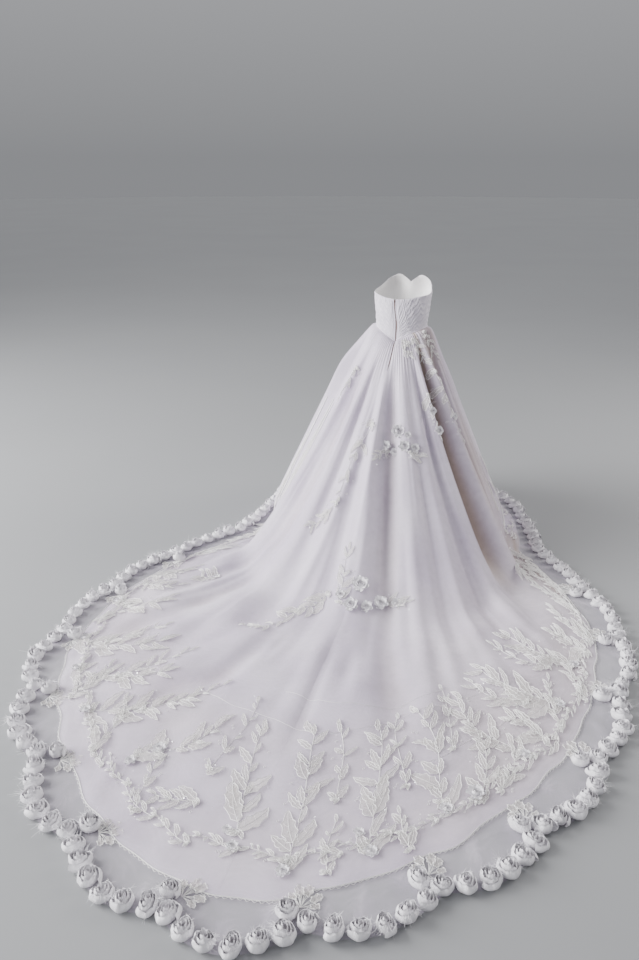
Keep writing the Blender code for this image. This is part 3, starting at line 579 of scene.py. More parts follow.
class Finish(Nodes):
    """A material whose shader holds constants, with nodes for what varies."""

    def __init__(self, name, **constants):
        self.material = bpy.data.materials.new(name)
        self.material.use_nodes = True
        super().__init__(self.material.node_tree)
        self.shader = self.tree.nodes["Principled BSDF"]
        for socket, value in constants.items():
            self.shader.inputs[socket.replace("_", " ").title()].default_value = value
        self.place = self.node("ShaderNodeTexCoord").outputs["Object"]

    def noise(self, scale, detail=3.0, stretch=(1.0, 1.0, 1.0)):
        """Noise from 0 to 1, with features about 1 / scale metres wide."""
        where = self.node("ShaderNodeMapping", None, {"Vector": self.place, "Scale": stretch})
        made = self.node(
            "ShaderNodeTexNoise",
            None,
            {"Vector": where.outputs[0], "Scale": scale, "Detail": detail},
        )
        return Level(self.tree, made.outputs["Fac"])

    def threads(self, cell):
        """1 on the threads of a net and 0 in its holes, which are one cell wide."""
        made = self.node(
            "ShaderNodeTexVoronoi",
            {"feature": "DISTANCE_TO_EDGE"},
            {"Vector": self.place, "Scale": 1.0 / cell, "Randomness": 0.55},
        )
        distance = Level(self.tree, made.outputs["Distance"])
        return ((0.16 - distance) * 12.0).at_least(0.0).at_most(1.0)

    def painted(self, name):
        """A number painted on the mesh's points."""
        made = self.node("ShaderNodeAttribute", {"attribute_name": name})
        return Level(self.tree, made.outputs["Fac"])

    def bump(self, height, distance, strength=1.0):
        made = self.node(
            "ShaderNodeBump", None, {"Height": height, "Distance": distance, "Strength": strength}
        )
        self.tree.links.new(made.outputs[0], self.shader.inputs["Normal"])

    def drive(self, socket, value):
        feed(self.tree, self.shader.inputs[socket], value)


def colour(red, green, blue):
    return (red, green, blue, 1.0)


# Cloth white with its lilac tint; COOL_SHADE and WARM_SHADE are painted shades mixed into it
WHITE = colour(0.86, 0.805, 0.895)
COOL_SHADE = colour(0.67, 0.595, 0.73)
WARM_SHADE = colour(0.54, 0.44, 0.38)


def satin_finish():
    made = Finish("ivory_satin", roughness=0.45, sheen_weight=0.2, sheen_roughness=0.4)
    # Painted shade: lilac shade in soft random patches, and warm shade where the points carry painted shade
    patchy_shade = made.noise(3.0)
    painted_shade = made.painted("painted_shade")
    ground = made.blend(patchy_shade, WHITE, COOL_SHADE)
    made.drive("Base Color", made.blend((painted_shade * 0.95).at_most(1.0), ground, WARM_SHADE))
    made.drive("Roughness", 0.38 + 0.16 * made.noise(40.0))
    twill = made.noise(900.0, 2.0, (1.0, 0.25, 0.6))
    made.bump(twill + made.noise(26.0, 4.0) * 2.0, 0.0010, 0.35)
    return made.material


def net_finish():
    made = Finish("sheer_tulle", roughness=0.60, sheen_weight=0.2, sheen_roughness=0.5)
    # Painted shade: lilac shade in cloudy patches, and warm shade where the points carry painted shade
    painted_shade = made.painted("painted_shade")
    cloudy_shade = ((made.noise(3.2, 5.0) - 0.5) * 2.6 + 0.5).at_least(0.0).at_most(1.0)
    ground = made.blend(cloudy_shade, WHITE, COOL_SHADE)
    made.drive("Base Color", made.blend((painted_shade * 0.9).at_most(1.0), ground, WARM_SHADE))
    layers = made.painted("layers")
    streaks = made.noise(24.0, 5.0)
    thread = made.threads(0.0016)
    body = layers * (0.70 + 0.60 * streaks)
    made.drive("Alpha", (body + thread * 0.22 * (1.0 - body)).at_least(0.0).at_most(0.97))
    made.bump(made.noise(60.0, 4.0) + thread * 0.3, 0.0012, 0.30)
    return made.material


def pleated_finish():
    made = Finish("pleated_tulle", roughness=0.58, sheen_weight=0.20, sheen_roughness=0.5)
    # Painted shade in the pleats' grooves: the base colour turns lilac grey where the points carry painted
    # shade
    deep = made.painted("painted_shade")
    ground = made.blend(made.noise(14.0), WHITE, colour(0.85, 0.82, 0.88))
    made.drive("Base Color", made.blend((deep * 0.8).at_most(1.0), ground, colour(0.60, 0.56, 0.66)))
    net = made.threads(0.0013)
    made.bump(net * 0.5 + made.noise(160.0, 4.0, (1.0, 1.0, 3.0)), 0.0012, 0.45)
    return made.material


def organza_finish():
    made = Finish("frayed_organza", roughness=0.48, sheen_weight=0.20, sheen_roughness=0.35)
    # Painted shade low in the wound roses, on their inner turns and towards the flowers' centres
    deep = made.painted("painted_shade")
    ground = made.blend(made.noise(45.0), colour(0.94, 0.925, 0.955), colour(0.87, 0.85, 0.89))
    made.drive("Base Color", made.blend((deep * 0.9).at_most(1.0), ground, colour(0.62, 0.58, 0.61)))
    made.drive("Roughness", 0.40 + 0.22 * made.noise(120.0))
    slubs = made.noise(420.0, 3.0, (1.0, 1.0, 0.25))
    made.bump(slubs + made.noise(70.0, 3.0) * 1.5, 0.0018, 0.6)
    return made.material


def cord_finish():
    made = Finish("lace_cord", roughness=0.36, sheen_weight=0.2, sheen_roughness=0.4)
    thread = made.blend(made.noise(18.0), colour(0.98, 0.975, 0.97), colour(0.94, 0.92, 0.90))
    made.drive("Base Color", thread)
    twist = made.noise(1500.0, 2.0)
    made.bump(twist, 0.0006, 0.6)
    return made.material


def lace_ground_finish():
    made = Finish("lace_ground", roughness=0.60, sheen_weight=0.15, sheen_roughness=0.5)
    ground = made.blend(made.noise(30.0), colour(0.90, 0.865, 0.86), colour(0.77, 0.71, 0.68))
    made.drive("Base Color", ground)
    stitches = made.noise(380.0, 2.0)
    made.drive("Alpha", (0.06 + 0.58 * stitches + made.threads(0.0022) * 0.25).at_most(0.9))
    made.bump(stitches, 0.0010, 0.6)
    return made.material


def tape_painted_shadow_finish():
    made = Finish("zip_tape", roughness=0.75)
    # The tape is painted dark brown for the shadow in the closure's narrow gap, mottled at random
    made.drive("Base Color", made.blend(made.noise(90.0), colour(0.30, 0.19, 0.16), colour(0.22, 0.13, 0.11)))
    made.bump(made.noise(1200.0, 1.0, (1.0, 1.0, 0.4)), 0.0005, 0.5)
    return made.material


def sequin_finish():
    made = Finish("clear_sequins", roughness=0.12, coat_weight=0.6, coat_roughness=0.05, metallic=0.35)
    made.drive("Base Color", made.blend(made.noise(200.0), colour(0.97, 0.97, 1.0), colour(0.90, 0.90, 0.95)))
    return made.material


def lining_finish():
    made = Finish("cotton_lining", roughness=0.70, sheen_weight=0.15)
    made.drive("Base Color", made.blend(made.noise(20.0), colour(0.88, 0.87, 0.87), colour(0.82, 0.80, 0.80)))
    made.bump(made.noise(1000.0, 1.0), 0.0004, 0.4)
    return made.material


SATIN = satin_finish()
NET = net_finish()
PLEATED = pleated_finish()
ORGANZA = organza_finish()
CORD = cord_finish()
LACE_GROUND = lace_ground_finish()
TAPE_PAINTED_SHADOW = tape_painted_shadow_finish()
SEQUIN = sequin_finish()
LINING = lining_finish()


# Meshes


class Stock:
    """Points and faces of one piece, gathered until it is made up."""

    def __init__(self):
        self.points, self.faces, self.finishes, self.painted_shade = [], [], [], []
        self.count = 0

    def add(self, points, faces, finish=0, painted_shade=0.0):
        """Adds points, and faces between them alone, each point with a painted shade from 0 to 1."""
        points = np.asarray(points, float).reshape(-1, 3)
        self.points.append(points)
        self.painted_shade.append(np.broadcast_to(np.asarray(painted_shade, float).reshape(-1), (len(points),)))
        self.count += len(points)
        self.join(np.asarray(faces, int) + self.count - len(points), finish)

    def join(self, faces, finish=0):
        """Adds faces between points that are there already."""
        self.faces.append(np.asarray(faces, int))
        self.finishes.append(np.full(len(faces), finish))

    def make(self, name, slot, materials, stands_for=(), layers=None, sharp=60):
        points = np.concatenate(self.points) - np.array([0.0, 0.0, WAIST_HEIGHT])
        faces = [tuple(face) for block in self.faces for face in block.tolist()]
        mesh = bpy.data.meshes.new(name)
        mesh.from_pydata(points.tolist(), [], faces)
        for material in materials:
            mesh.materials.append(material)
        mesh.polygons.foreach_set("material_index", np.concatenate(self.finishes).astype(np.int32))
        # Painted shade on the points, which the finishes mix into the base colour as darkening
        paint(mesh, "painted_shade", np.concatenate(self.painted_shade))
        if layers is not None:
            paint(mesh, "layers", layers)
        mesh.shade_smooth()
        mesh.set_sharp_from_angle(angle=math.radians(sharp))
        made = bpy.data.objects.new(name, mesh)
        bpy.context.scene.collection.objects.link(made)
        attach(made, "root")
        if stands_for:
            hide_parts(*stands_for)
        return made


def paint(mesh, name, values):
    attribute = mesh.attributes.new(name, "FLOAT", "POINT")
    attribute.data.foreach_set("value", np.asarray(values, np.float32).reshape(-1))


def grid_faces(rows, columns, ring=False):
    """Four-sided faces between neighbours of a grid of points, row by row."""
    down, across = np.meshgrid(
        np.arange(rows - 1), np.arange(columns if ring else columns - 1), indexing="ij"
    )
    after = (across + 1) % columns
    corners = [down * columns + across, (down + 1) * columns + across]
    corners += [(down + 1) * columns + after, down * columns + after]
    return np.stack(corners, axis=-1).reshape(-1, 4)


def strand(path, up, radius):
    """A thin cord of three sides along a path, lying with one side down."""
    path, up = np.asarray(path, float), np.asarray(up, float)
    tangent = unit(np.gradient(path, axis=0))
    side = unit(np.cross(tangent, up))
    top = np.cross(side, tangent)
    thick = np.asarray(radius, float).reshape(-1, 1) * np.ones((len(path), 1))
    corners = [path - side * thick - top * thick * 0.4, path + top * thick]
    corners.append(path + side * thick - top * thick * 0.4)
    return np.stack(corners, axis=1).reshape(-1, 3), grid_faces(len(path), 3, ring=True)


def cut_area(rows):
    """Area, mean length and greatest width of a grid of points."""
    down, across = np.diff(rows, axis=0), np.diff(rows, axis=1)
    area = np.linalg.norm(np.cross(down[:, :-1], across[:-1]), axis=-1).sum()
    length = np.linalg.norm(down, axis=-1).sum(axis=0).mean()
    width = np.linalg.norm(across, axis=-1).sum(axis=1).max()
    return float(area), float(length), float(width)


def declare_cloth(rows, spare=1.0):
    """Works out the flat size that a panel was cut to from its grid of points; nothing is done with it."""
    area, length, width = cut_area(rows)
    area = area * spare
    width = max(width, area / length)
    area = max(area, 0.31 * width * length)


# Bodice and closure

CLOSURE_RADIUS = 0.098


def near_closure(angle):
    """1 at the closure and 0 where the cloth is no longer drawn out of line by it."""
    return smooth_step(1 - np.abs(wrapped(angle)) / 14.0)


# Painted shade in the pleats' grooves, from 0 to 1, stronger on panels with stronger pleats
def pleat_groove_shade(rise, strength):
    return smooth_step(1.0 - rise / (0.0034 * strength)) * min(0.55 + 0.4 * strength, 1.0)


def closure_shift(angle, first, last, height):
    """Degrees by which the cloth near the closure is drawn back and pulled out of line."""
    side = 1.0 if first == 0 else -1.0
    gap = 0.0033 + 0.0010 * np.sin(height * 47.0 + side)
    return near_closure(angle) * np.degrees((side * gap + closure_line(height)) / CLOSURE_RADIUS)


def bodice_panel(name, first, last, strength):
    """A cut piece of the bodice: pleated tulle outside, a turned top edge, lining inside."""
    angles = np.linspace(first + 0.06, last - 0.06, int((last - first) * 1.1))
    ups = np.linspace(0.0, 1.0, 76)
    angle, up = np.meshgrid(angles, ups)
    low = waist_height(angle)
    height = low + (top_height(angle) - low) * up
    shifted, curl = angle, np.zeros(angle.shape)
    if first == 0 or last == 360:
        shifted = angle + closure_shift(angle, first, last, height)
    if first == 0:
        curl = 0.0050 * smooth_step((up - 0.90) / 0.10) * smooth_step(1 - angle / 12.0)
    edges = smooth_step(up / 0.03) * smooth_step((1 - up) / 0.02)
    rise = ruching(angle, up, strength) * edges
    outside = bodice_point(shifted, up, BODICE_WALL + rise + curl)
    lip = bodice_point(shifted[-1:], up[-1:] + 0.004, BODICE_WALL * 0.5 + curl[-1:])
    lining = bodice_point(shifted, up, curl)[::-5]
    rows = np.concatenate([outside, lip, lining])
    count, across = rows.shape[:2]
    # Painted shade for the pleats' grooves, on the outer tulle's points alone
    painted_shade = np.zeros((count, across))
    painted_shade[: len(ups)] = pleat_groove_shade(rise, strength)
    finishes = np.repeat(np.where(np.arange(count - 1) > len(ups), 1, 0), across - 1)
    stock = Stock()
    stock.add(rows, grid_faces(count, across), finishes, painted_shade)
    seam = np.arange(across)
    under = seam + (count - 1) * across
    stock.join(np.stack([seam[:-1], seam[1:], under[1:], under[:-1]], axis=-1), 1)
    for column in (0, across - 1):
        close_side(stock, [row * across + column for row in range(count)], len(ups), column == 0)
    piece = stock.make("pleats_" + name, "pleated_tulle", [PLEATED, LINING], ["bodice_" + name])
    declare_cloth(outside)
    return piece


def close_side(stock, loop, outer_count, turned):
    """Closes the cut edge of a wall between its outer and its inner points."""
    outer, lip, inner = loop[:outer_count], loop[outer_count], loop[outer_count + 1 :][::-1]
    spots = np.linspace(0, outer_count - 1, len(inner)).round().astype(int)
    corners = [(outer[-1], lip, inner[-1])]
    for i in range(len(inner) - 1):
        corners += [(outer[j], outer[j + 1], inner[i]) for j in range(spots[i], spots[i + 1])]
        corners.append((outer[spots[i + 1]], inner[i + 1], inner[i]))
    corners = np.array(corners)
    stock.join(corners[:, ::-1] if turned else corners, 1)


def waist_piping(side, first, last):
    """A satin cord sewn over the waist seam, round and a little uneven."""
    angles = np.linspace(first + 1.9, last - 1.9, 150)
    drawn = np.degrees(closure_line(waist_height(angles)) / CLOSURE_RADIUS) * near_closure(angles)
    lift = BODICE_WALL + 0.0018 + 0.0003 * np.sin(np.radians(angles) * 40)
    core = bodice_point(angles + drawn, 0.018, lift)
    out = unit(core * np.array([1.0, 1.0, 0.0]))
    tangent = unit(np.gradient(core, axis=0))
    over = np.cross(tangent, out)
    thick = 0.0030 + 0.0003 * np.sin(np.radians(angles) * 57)[:, None]
    turns = np.radians(np.arange(8) * 45)
    ring = [core + (out * math.cos(t) + over * math.sin(t)) * thick for t in turns]
    stock = Stock()
    stock.add(np.stack(ring, axis=1), grid_faces(len(angles), 8, ring=True))
    stock.join([np.arange(8)])
    stock.join([np.arange(8)[::-1] + (len(angles) - 1) * 8])
    return stock.make("waist_piping_" + side, "satin", [SATIN], ["waist_cord_" + side])


def hidden_zip():
    """The zip's two tapes behind the closure, with its row of small teeth."""
    low, high = float(waist_height(0.0)), float(top_height(0.0))
    stock = Stock()
    for side in (-1.0, 1.0):
        across = np.array([0.0004, 0.004, 0.008, 0.0118]) * side
        rows = []
        for up in np.linspace(0.985, 0.0, 60):
            turn = np.degrees((across + closure_line(low + (high - low) * up)) / CLOSURE_RADIUS)
            rows.append(bodice_point(turn, up, -0.0014))
        for place in np.linspace(0.004, 0.20, 22):
            base = skirt_base(np.zeros(1), place)[0]
            turn = np.degrees((across + closure_line(base[2])) / math.hypot(base[0], base[1]))
            rows.append(skirt_point(turn, place, -0.0014))
        stock.add(np.stack(rows), grid_faces(len(rows), 4))
    for up in np.linspace(0.02, 0.97, 90):
        middle = closure_line(low + (high - low) * up)
        turn = np.degrees((middle + np.array([-0.0009, 0.0009])) / CLOSURE_RADIUS)
        tooth = bodice_point(turn, up, -0.0011)
        outward = unit(tooth * np.array([1.0, 1.0, 0.0]))
        stock.add(*strand(tooth, outward, 0.0005))
    # Painted shadow: the tapes and teeth take the dark brown of the closure's gap
    return stock.make("hidden_zip", "zip_tape", [TAPE_PAINTED_SHADOW], ["back_zip"])


# Skirt panels


def shade_of_cloth(angle, place, rise):
    """Where the cloth is in warm shade: valleys, the deep fold and the flank, the train's right."""
    turn = wrapped(angle)
    valley = 0.20 * smooth_step((0.004 - rise) / 0.030)
    slit = np.exp(-(((turn + 49.0) / 3.2) ** 2)) * smooth_step((1.1 - place) / 0.4)
    flank = smooth_step((-turn - 54.0) / 5.0) * smooth_step((100.0 + turn) / 16.0)
    lace_zone = smooth_step((place - 1.35) / 0.3) * smooth_step((2.05 - place) / 0.2)
    right = smooth_step((-turn - 2.0) / 30.0) * smooth_step((100.0 + turn) / 40.0)
    right = right * smooth_step((place - 0.7) / 0.4)
    uneven = 0.5 + 0.5 * ripple(turn * 0.12, place * 6.0, 51, 5)
    shade = valley + slit + 0.85 * flank * uneven + 0.24 * lace_zone * uneven + 0.15 * right
    return np.clip(shade, 0, 1)


def panel_angles(first, last):
    spacing = 1.5 if last - first > 100 else 0.75 if last - first > 50 else 0.5
    return np.linspace(first + 0.005, last - 0.005, int((last - first) / spacing) + 1)


SATIN_PLACES = np.concatenate(
    [np.linspace(0, 0.12, 12)[:-1], np.linspace(0.12, 1.0, 46)[:-1], np.linspace(1.0, 2.0, 52)]
)
NET_PLACES = np.concatenate([SATIN_PLACES, 2.0 + np.linspace(0.0, 1.0, 15)[1:]])


def slit_shift(angle, place, points):
    """Degrees by which the panels are drawn back from the closure's slit."""
    opening = 1.0 - smooth_step((0.94 - points[..., 2]) / 0.05)
    side = np.where(wrapped(angle) >= 0, 1.0, -1.0)
    radius = np.maximum(np.hypot(points[..., 0], points[..., 1]), 0.05)
    gap = (0.0038 * side + closure_line(points[..., 2])) * opening
    return near_closure(angle) * np.degrees(gap / radius)


def satin_panel(name, first, last):
    angle, place = np.meshgrid(panel_angles(first, last), SATIN_PLACES)
    shift = slit_shift(angle, place, skirt_base(angle, place))
    rows = skirt_point(angle + shift, place, 0.0)
    stock = Stock()
    # Painted warm shade of the cloth, as worked out by shade_of_cloth
    painted_shade = shade_of_cloth(angle, place, relief(angle, place))
    stock.add(rows, grid_faces(*angle.shape)[:, ::-1], 0, painted_shade)
    piece = stock.make("satin_" + name, "satin", [SATIN], ["underskirt_" + name])
    declare_cloth(rows, 1.02)
    return piece


def cover(angle, place):
    """How closely the tulle's layers cover what is behind them, from 0 to 1."""
    beyond = smooth_step((place - 1.97) / 0.10)
    upper = 0.46 + 0.10 * smooth_step((0.4 - place) / 0.4)
    length = along_hem(angle)[0]
    rays = np.clip(ripple(length * 26.0, place * 1.2, 61, 6), 0, 1) ** 1.3
    border = 0.16 + 0.55 * rays + 0.10 * smooth_step((place - 2.75) / 0.2)
    return upper + (border - upper) * beyond


def net_panel(name, first, last):
    angle, place = np.meshgrid(panel_angles(first, last), NET_PLACES)
    shift = slit_shift(angle, place, skirt_base(angle, place))
    rows = net_point(angle + shift, place)
    stock = Stock()
    # Painted warm shade of the cloth, none on the clear border
    painted_shade = shade_of_cloth(angle, place, relief(angle, place)) * (place < 2.0)
    stock.add(rows, grid_faces(*angle.shape)[:, ::-1], 0, painted_shade)
    piece = stock.make("net_" + name, "tulle", [NET], ["tulle_" + name], cover(angle, place))
    declare_cloth(rows, 1.1)
    return piece


# Wound roses


ROSE_SECTION = [
    (0.00, 0.68, 0.00), (0.18, 0.91, 0.14), (0.40, 1.00, 0.40), (0.62, 0.97, 0.66),
    (0.82, 0.87, 0.88), (0.94, 0.78, 0.99), (1.00, 0.81, 1.04),
]


def wound_strip(radius, height, turns, seed, steps):
    """Points of a strip of organza wound into a rose, outermost turn first."""
    rng = np.random.default_rng(seed)
    t = np.linspace(0.0, 1.0, steps)[:, None]
    theta = 2 * math.pi * turns * t + rng.uniform(0, 2 * math.pi)
    share = np.array([row[0] for row in ROSE_SECTION])[None, :]
    reach = np.array([row[1] for row in ROSE_SECTION])[None, :]
    rise = np.array([row[2] for row in ROSE_SECTION])[None, :]
    one, two, three = rng.uniform(0, 2 * math.pi, 3)
    winding = radius * (1.0 - 0.87 * t ** 0.85)
    petals = 1 + 0.10 * np.sin(2.2 * theta + one) * share
    crumple = 1 + (0.10 * np.abs(np.sin(3.3 * theta + two)) - 0.05) * (0.35 + share)
    frill = 1 + 0.05 * np.sin(9.0 * theta + three) * share ** 2
    out = winding * reach * petals * crumple * frill
    waves = 1 + 0.12 * np.sin(2.2 * theta + two) + 0.06 * np.sin(7.0 * theta + one)
    up = height * (0.60 + 0.44 * t ** 0.7) * waves * rise + height * 0.02
    x = out * np.cos(theta) * rng.uniform(0.94, 1.02)
    y = out * np.sin(theta) * rng.uniform(0.96, 1.26)
    lean_x, lean_y = rng.uniform(-0.18, 0.18, 2)
    up = np.maximum(up + (x * lean_x + y * lean_y) * share, 0.0004)
    return np.stack([x, y, up], axis=-1)


def on_axes(points, centre, ahead, normal):
    """Turns a small thing's own points to lie at a centre, on a cloth with this normal."""
    normal = unit(np.asarray(normal, float))
    ahead = unit(ahead - normal * np.dot(ahead, normal))
    beside = np.cross(normal, ahead)
    axes = np.stack([ahead, beside, normal])
    return points @ axes + centre


def frayed_threads(strip, count, length, seed):
    """Loose threads of the strip's upper edge, most in one tuft, as thin tapering ribbons."""
    rng = np.random.default_rng(seed)
    outer_turn = int(len(strip) * 0.36)
    tuft = rng.integers(1, outer_turn)
    tufted = rng.random() < 0.5
    points, faces = [], []
    for i in range(count):
        in_tuft = tufted and i > count // 3
        spot = (tuft + rng.integers(-4, 5)) % outer_turn if in_tuft else rng.integers(1, outer_turn * 2)
        start = strip[spot, rng.integers(4, strip.shape[1])]
        out = unit(start * np.array([1.0, 1.0, 0.0]))
        aim = unit(out + rng.normal(0, 0.28 if in_tuft else 0.6, 3) + np.array([0.0, 0.0, 0.15]))
        reach = length * rng.uniform(0.5, 1.0) * (1.3 if in_tuft else 0.6)
        bend = rng.normal(0, 0.35, 3) * reach
        ts = np.linspace(0, 1, 4)[:, None]
        path = start + aim * reach * ts + bend * ts ** 2
        path[:, 2] = np.maximum(path[:, 2], 0.0008)
        side = unit(np.cross(aim, np.array([0.3, 0.2, 1.0]))) * 0.0006
        ribbon = np.stack([path - side * (1 - 0.7 * ts), path + side * (1 - 0.7 * ts)], axis=1)
        faces.append(grid_faces(4, 2) + 8 * len(points))
        points.append(ribbon.reshape(-1, 3))
    return np.concatenate(points), np.concatenate(faces)


def add_rose(stock, centre, ahead, normal, radius, height, seed, threads=44, turns=3.2, steps=84):
    strip = wound_strip(radius, height, turns, seed, steps)
    # Painted shade: the strip darkens towards its foot and on its inner turns
    depth = np.linspace(0.0, 1.0, steps)[:, None] * np.ones((1, strip.shape[1]))
    low = 1 - np.array([row[2] for row in ROSE_SECTION])[None, :]
    painted_shade = np.clip(low * (0.10 + 0.90 * depth), 0, 1)
    placed = on_axes(strip.reshape(-1, 3), centre, ahead, normal)
    stock.add(placed, grid_faces(steps, strip.shape[1]), 0, painted_shade)
    if threads:
        points, faces = frayed_threads(strip, threads, radius * 0.55, seed + 5000)
        stock.add(on_axes(points, centre, ahead, normal), faces, 0, 0.0)


def rose_places():
    """Centres of the roses along the scalloped line, against the clock, as in the solids."""
    steps = LOBES * ROSES_PER_LOBE * 20
    angles = FIRST_CUSP_ANGLE - 360.0 * np.arange(steps + 1) / steps
    line = round_body(angles, rose_line(angles), 0.0)
    lengths = np.concatenate([[0.0], np.cumsum(np.linalg.norm(np.diff(line, axis=0), axis=1))])
    count = LOBES * ROSES_PER_LOBE
    wanted = lengths[-1] * (np.arange(count) + 0.5) / count
    at = np.interp(wanted, lengths, angles)
    places = round_body(at, rose_line(at), 0.0)
    on_train = np.hypot(places[:, 0], places[:, 1]) > INNER_ROSE_LEAST_HEM
    places[:, 2] = np.where(on_train, ROSE_SEAT_ON_TRAIN, ROSE_SEAT_AT_FRONT)
    return places


UP = np.array([0.0, 0.0, 1.0])


def add_fan(cords, ground, root, ahead, seed):
    """An open fan of corded lace with frilled petals, and a sprig of rings beside it."""
    rng = np.random.default_rng(seed)
    beside = np.cross(UP, ahead)
    level = 0.0062

    def laid(u, v, rise):
        flat = root * np.array([1.0, 1.0, 0.0])
        u, v, rise = (np.asarray(value)[..., None] for value in (u, v, rise))
        return flat + ahead * u + beside * v + UP * rise

    for turn, length in FAN_FINGERS:
        a = math.radians(turn + rng.uniform(-5, 5))
        t = np.linspace(0, 1, 9)
        for spread in (-0.20, 0.0, 0.20):
            b = a + spread * t ** 0.8
            reach = length * 0.80 * t
            path = laid(reach * np.cos(b), reach * np.sin(b), level + 0.003 * np.sin(math.pi * t))
            points, faces = strand(path, np.tile(UP, (9, 1)), 0.0009 - 0.0003 * t)
            cords.add(points, faces)
        turns = np.linspace(0, 2 * math.pi, 27)
        frill = 1 + 0.17 * np.sin(turns * 6.5 + rng.uniform(0, 6))
        wide, tall = length * 0.185 * frill, length * 0.26 * frill
        mid = length * 0.80
        u = (mid + tall * np.cos(turns)) * math.cos(a) - wide * np.sin(turns) * math.sin(a)
        v = (mid + tall * np.cos(turns)) * math.sin(a) + wide * np.sin(turns) * math.cos(a)
        rise = level + 0.003 + 0.002 * np.sin(turns * 3.0)
        rim = laid(u, v, rise)
        points, faces = strand(rim, np.tile(UP, (27, 1)), 0.0012)
        cords.add(points, faces)
        centre = laid(np.array([mid * math.cos(a)]), np.array([mid * math.sin(a)]), np.array([level + 0.002]))
        middle = centre + (rim[:-1] - centre) * 0.55
        middle[:, 2] += 0.0016 * np.sin(np.arange(26) * 2.4)
        fill = np.concatenate([rim[:-1], middle, centre])
        around = np.arange(26)
        after = (around + 1) % 26
        tips = np.stack([around + 26, after + 26, np.full(26, 52)], axis=-1)
        ground.add(fill, np.stack([around, after, after + 26, around + 26], axis=-1))
        ground.join(tips + ground.count - len(fill))
    for stalk in range(3):
        a = math.radians(118 + 14 * stalk + rng.uniform(-5, 5))
        length = 0.052 - 0.008 * stalk
        t = np.linspace(0, 1, 10)
        b = a + 0.25 * np.sin(t * 3.0)
        path = laid(length * t * np.cos(b), length * t * np.sin(b), level + 0.004 * t)
        points, faces = strand(path, np.tile(UP, (10, 1)), 0.0008)
        cords.add(points, faces)
        for ring in range(3):
            share = 0.45 + 0.27 * ring
            turns = np.linspace(0, 2 * math.pi, 9)
            u = length * share * math.cos(a) + 0.0032 * np.cos(turns)
            v = length * share * math.sin(a) + 0.0032 * np.sin(turns)
            points, faces = strand(laid(u, v, level + 0.004 * share + 0 * u), np.tile(UP, (9, 1)), 0.0008)
            cords.add(points, faces)


def rose_trims():
    places = rose_places()
    count = len(places)
    per_trim = LOBES_PER_TRIM * ROSES_PER_LOBE
    for trim in range(LOBES // LOBES_PER_TRIM):
        name = f"{trim + 1:02d}"
        stock, cords, ground = Stock(), Stock(), Stock()
        first = trim * per_trim + ROSES_PER_LOBE // 2
        for i in range(first, first + per_trim):
            rng = np.random.default_rng(300 + i)
            centre = places[i % count]
            ahead = unit(places[(i + 1) % count] - places[(i - 1) % count])
            radius, height = ROSE_RADIUS * rng.uniform(0.94, 1.12), ROSE_HEIGHT * rng.uniform(1.2, 1.65)
            on_train = math.hypot(centre[0], centre[1]) > INNER_ROSE_LEAST_HEM
            add_rose(stock, centre, ahead, UP, radius, height, 700 + i)
            at_cusp = i % ROSES_PER_LOBE == ROSES_PER_LOBE - 1
            if not at_cusp or not on_train:
                continue
            across = np.cross(UP, ahead)
            inner = centre + (ahead * 0.5 + across * math.sin(math.pi / 3)) * INNER_ROSE_DISTANCE
            add_rose(stock, inner, ahead, UP, ROSE_RADIUS * 0.95, ROSE_HEIGHT * 1.55, 1700 + i)
            add_fan(cords, ground, inner + ahead * ROSE_RADIUS * 1.05, ahead, 2700 + i)
        stock.make("roses_" + name, "organza", [ORGANZA], ["rose_trim_" + name], sharp=75)
        if cords.count:
            cords.make("fan_cords_" + name, "corded_lace", [CORD])
            ground.make("fan_petals_" + name, "corded_lace", [LACE_GROUND])


# Corded lace


class Sewing:
    """Lace drawn flat, as cords and sheer grounds, then laid along a line on the net."""

    def __init__(self):
        self.cords, self.grounds = [], []

    def cord(self, u, v, rise, radius):
        self.cords.append((np.stack(np.broadcast_arrays(u, v, rise), axis=-1).astype(float), radius))

    def ground(self, u, v, rise):
        self.grounds.append(np.stack([u, v, rise], axis=-1))

    def lay(self, cords, grounds, root, tip):
        """Adds the lace to two stocks, from its root to its tip as angle and place."""
        t = np.linspace(0.0, 1.0, 9)
        angles, places = root[0] + (tip[0] - root[0]) * t, root[1] + (tip[1] - root[1]) * t
        line = skirt_base(angles, places)
        length = np.linalg.norm(np.diff(line, axis=0), axis=1).sum()
        aside = skirt_base(angles + 0.5, places) - skirt_base(angles - 0.5, places)
        onward = skirt_base(angles, places + 0.01) - skirt_base(angles, places - 0.01)
        by_angle, by_place = np.linalg.norm(aside, axis=1), np.linalg.norm(onward, axis=1) / 0.02
        run = np.array([(tip[0] - root[0]) * by_angle.mean(), (tip[1] - root[1]) * by_place.mean()])
        run = run / np.hypot(*run)

        def laid(flat):
            share = flat[:, 0] / length
            a = root[0] + (tip[0] - root[0]) * share - flat[:, 1] * run[1] / np.interp(share, t, by_angle)
            p = root[1] + (tip[1] - root[1]) * share + flat[:, 1] * run[0] / np.interp(share, t, by_place)
            p = np.clip(p, 0.001, 2.9)
            return net_point(a, p, flat[:, 2]), skirt_normal(a, p)

        flats = [path for path, radius in self.cords] + [grid.reshape(-1, 3) for grid in self.grounds]
        if not flats:
            return
        points, normals = laid(np.concatenate(flats))
        at = 0
        for path, radius in self.cords:
            here = slice(at, at + len(path))
            cords.add(*strand(points[here], normals[here], radius))
            at += len(path)
        for grid in self.grounds:
            size = grid.shape[0] * grid.shape[1]
            grounds.add(points[at : at + size], grid_faces(grid.shape[0], grid.shape[1]))
            at += size


def net_length(root, tip):
    t = np.linspace(0.0, 1.0, 9)
    line = skirt_base(root[0] + (tip[0] - root[0]) * t, root[1] + (tip[1] - root[1]) * t)
    return float(np.linalg.norm(np.diff(line, axis=0), axis=1).sum())


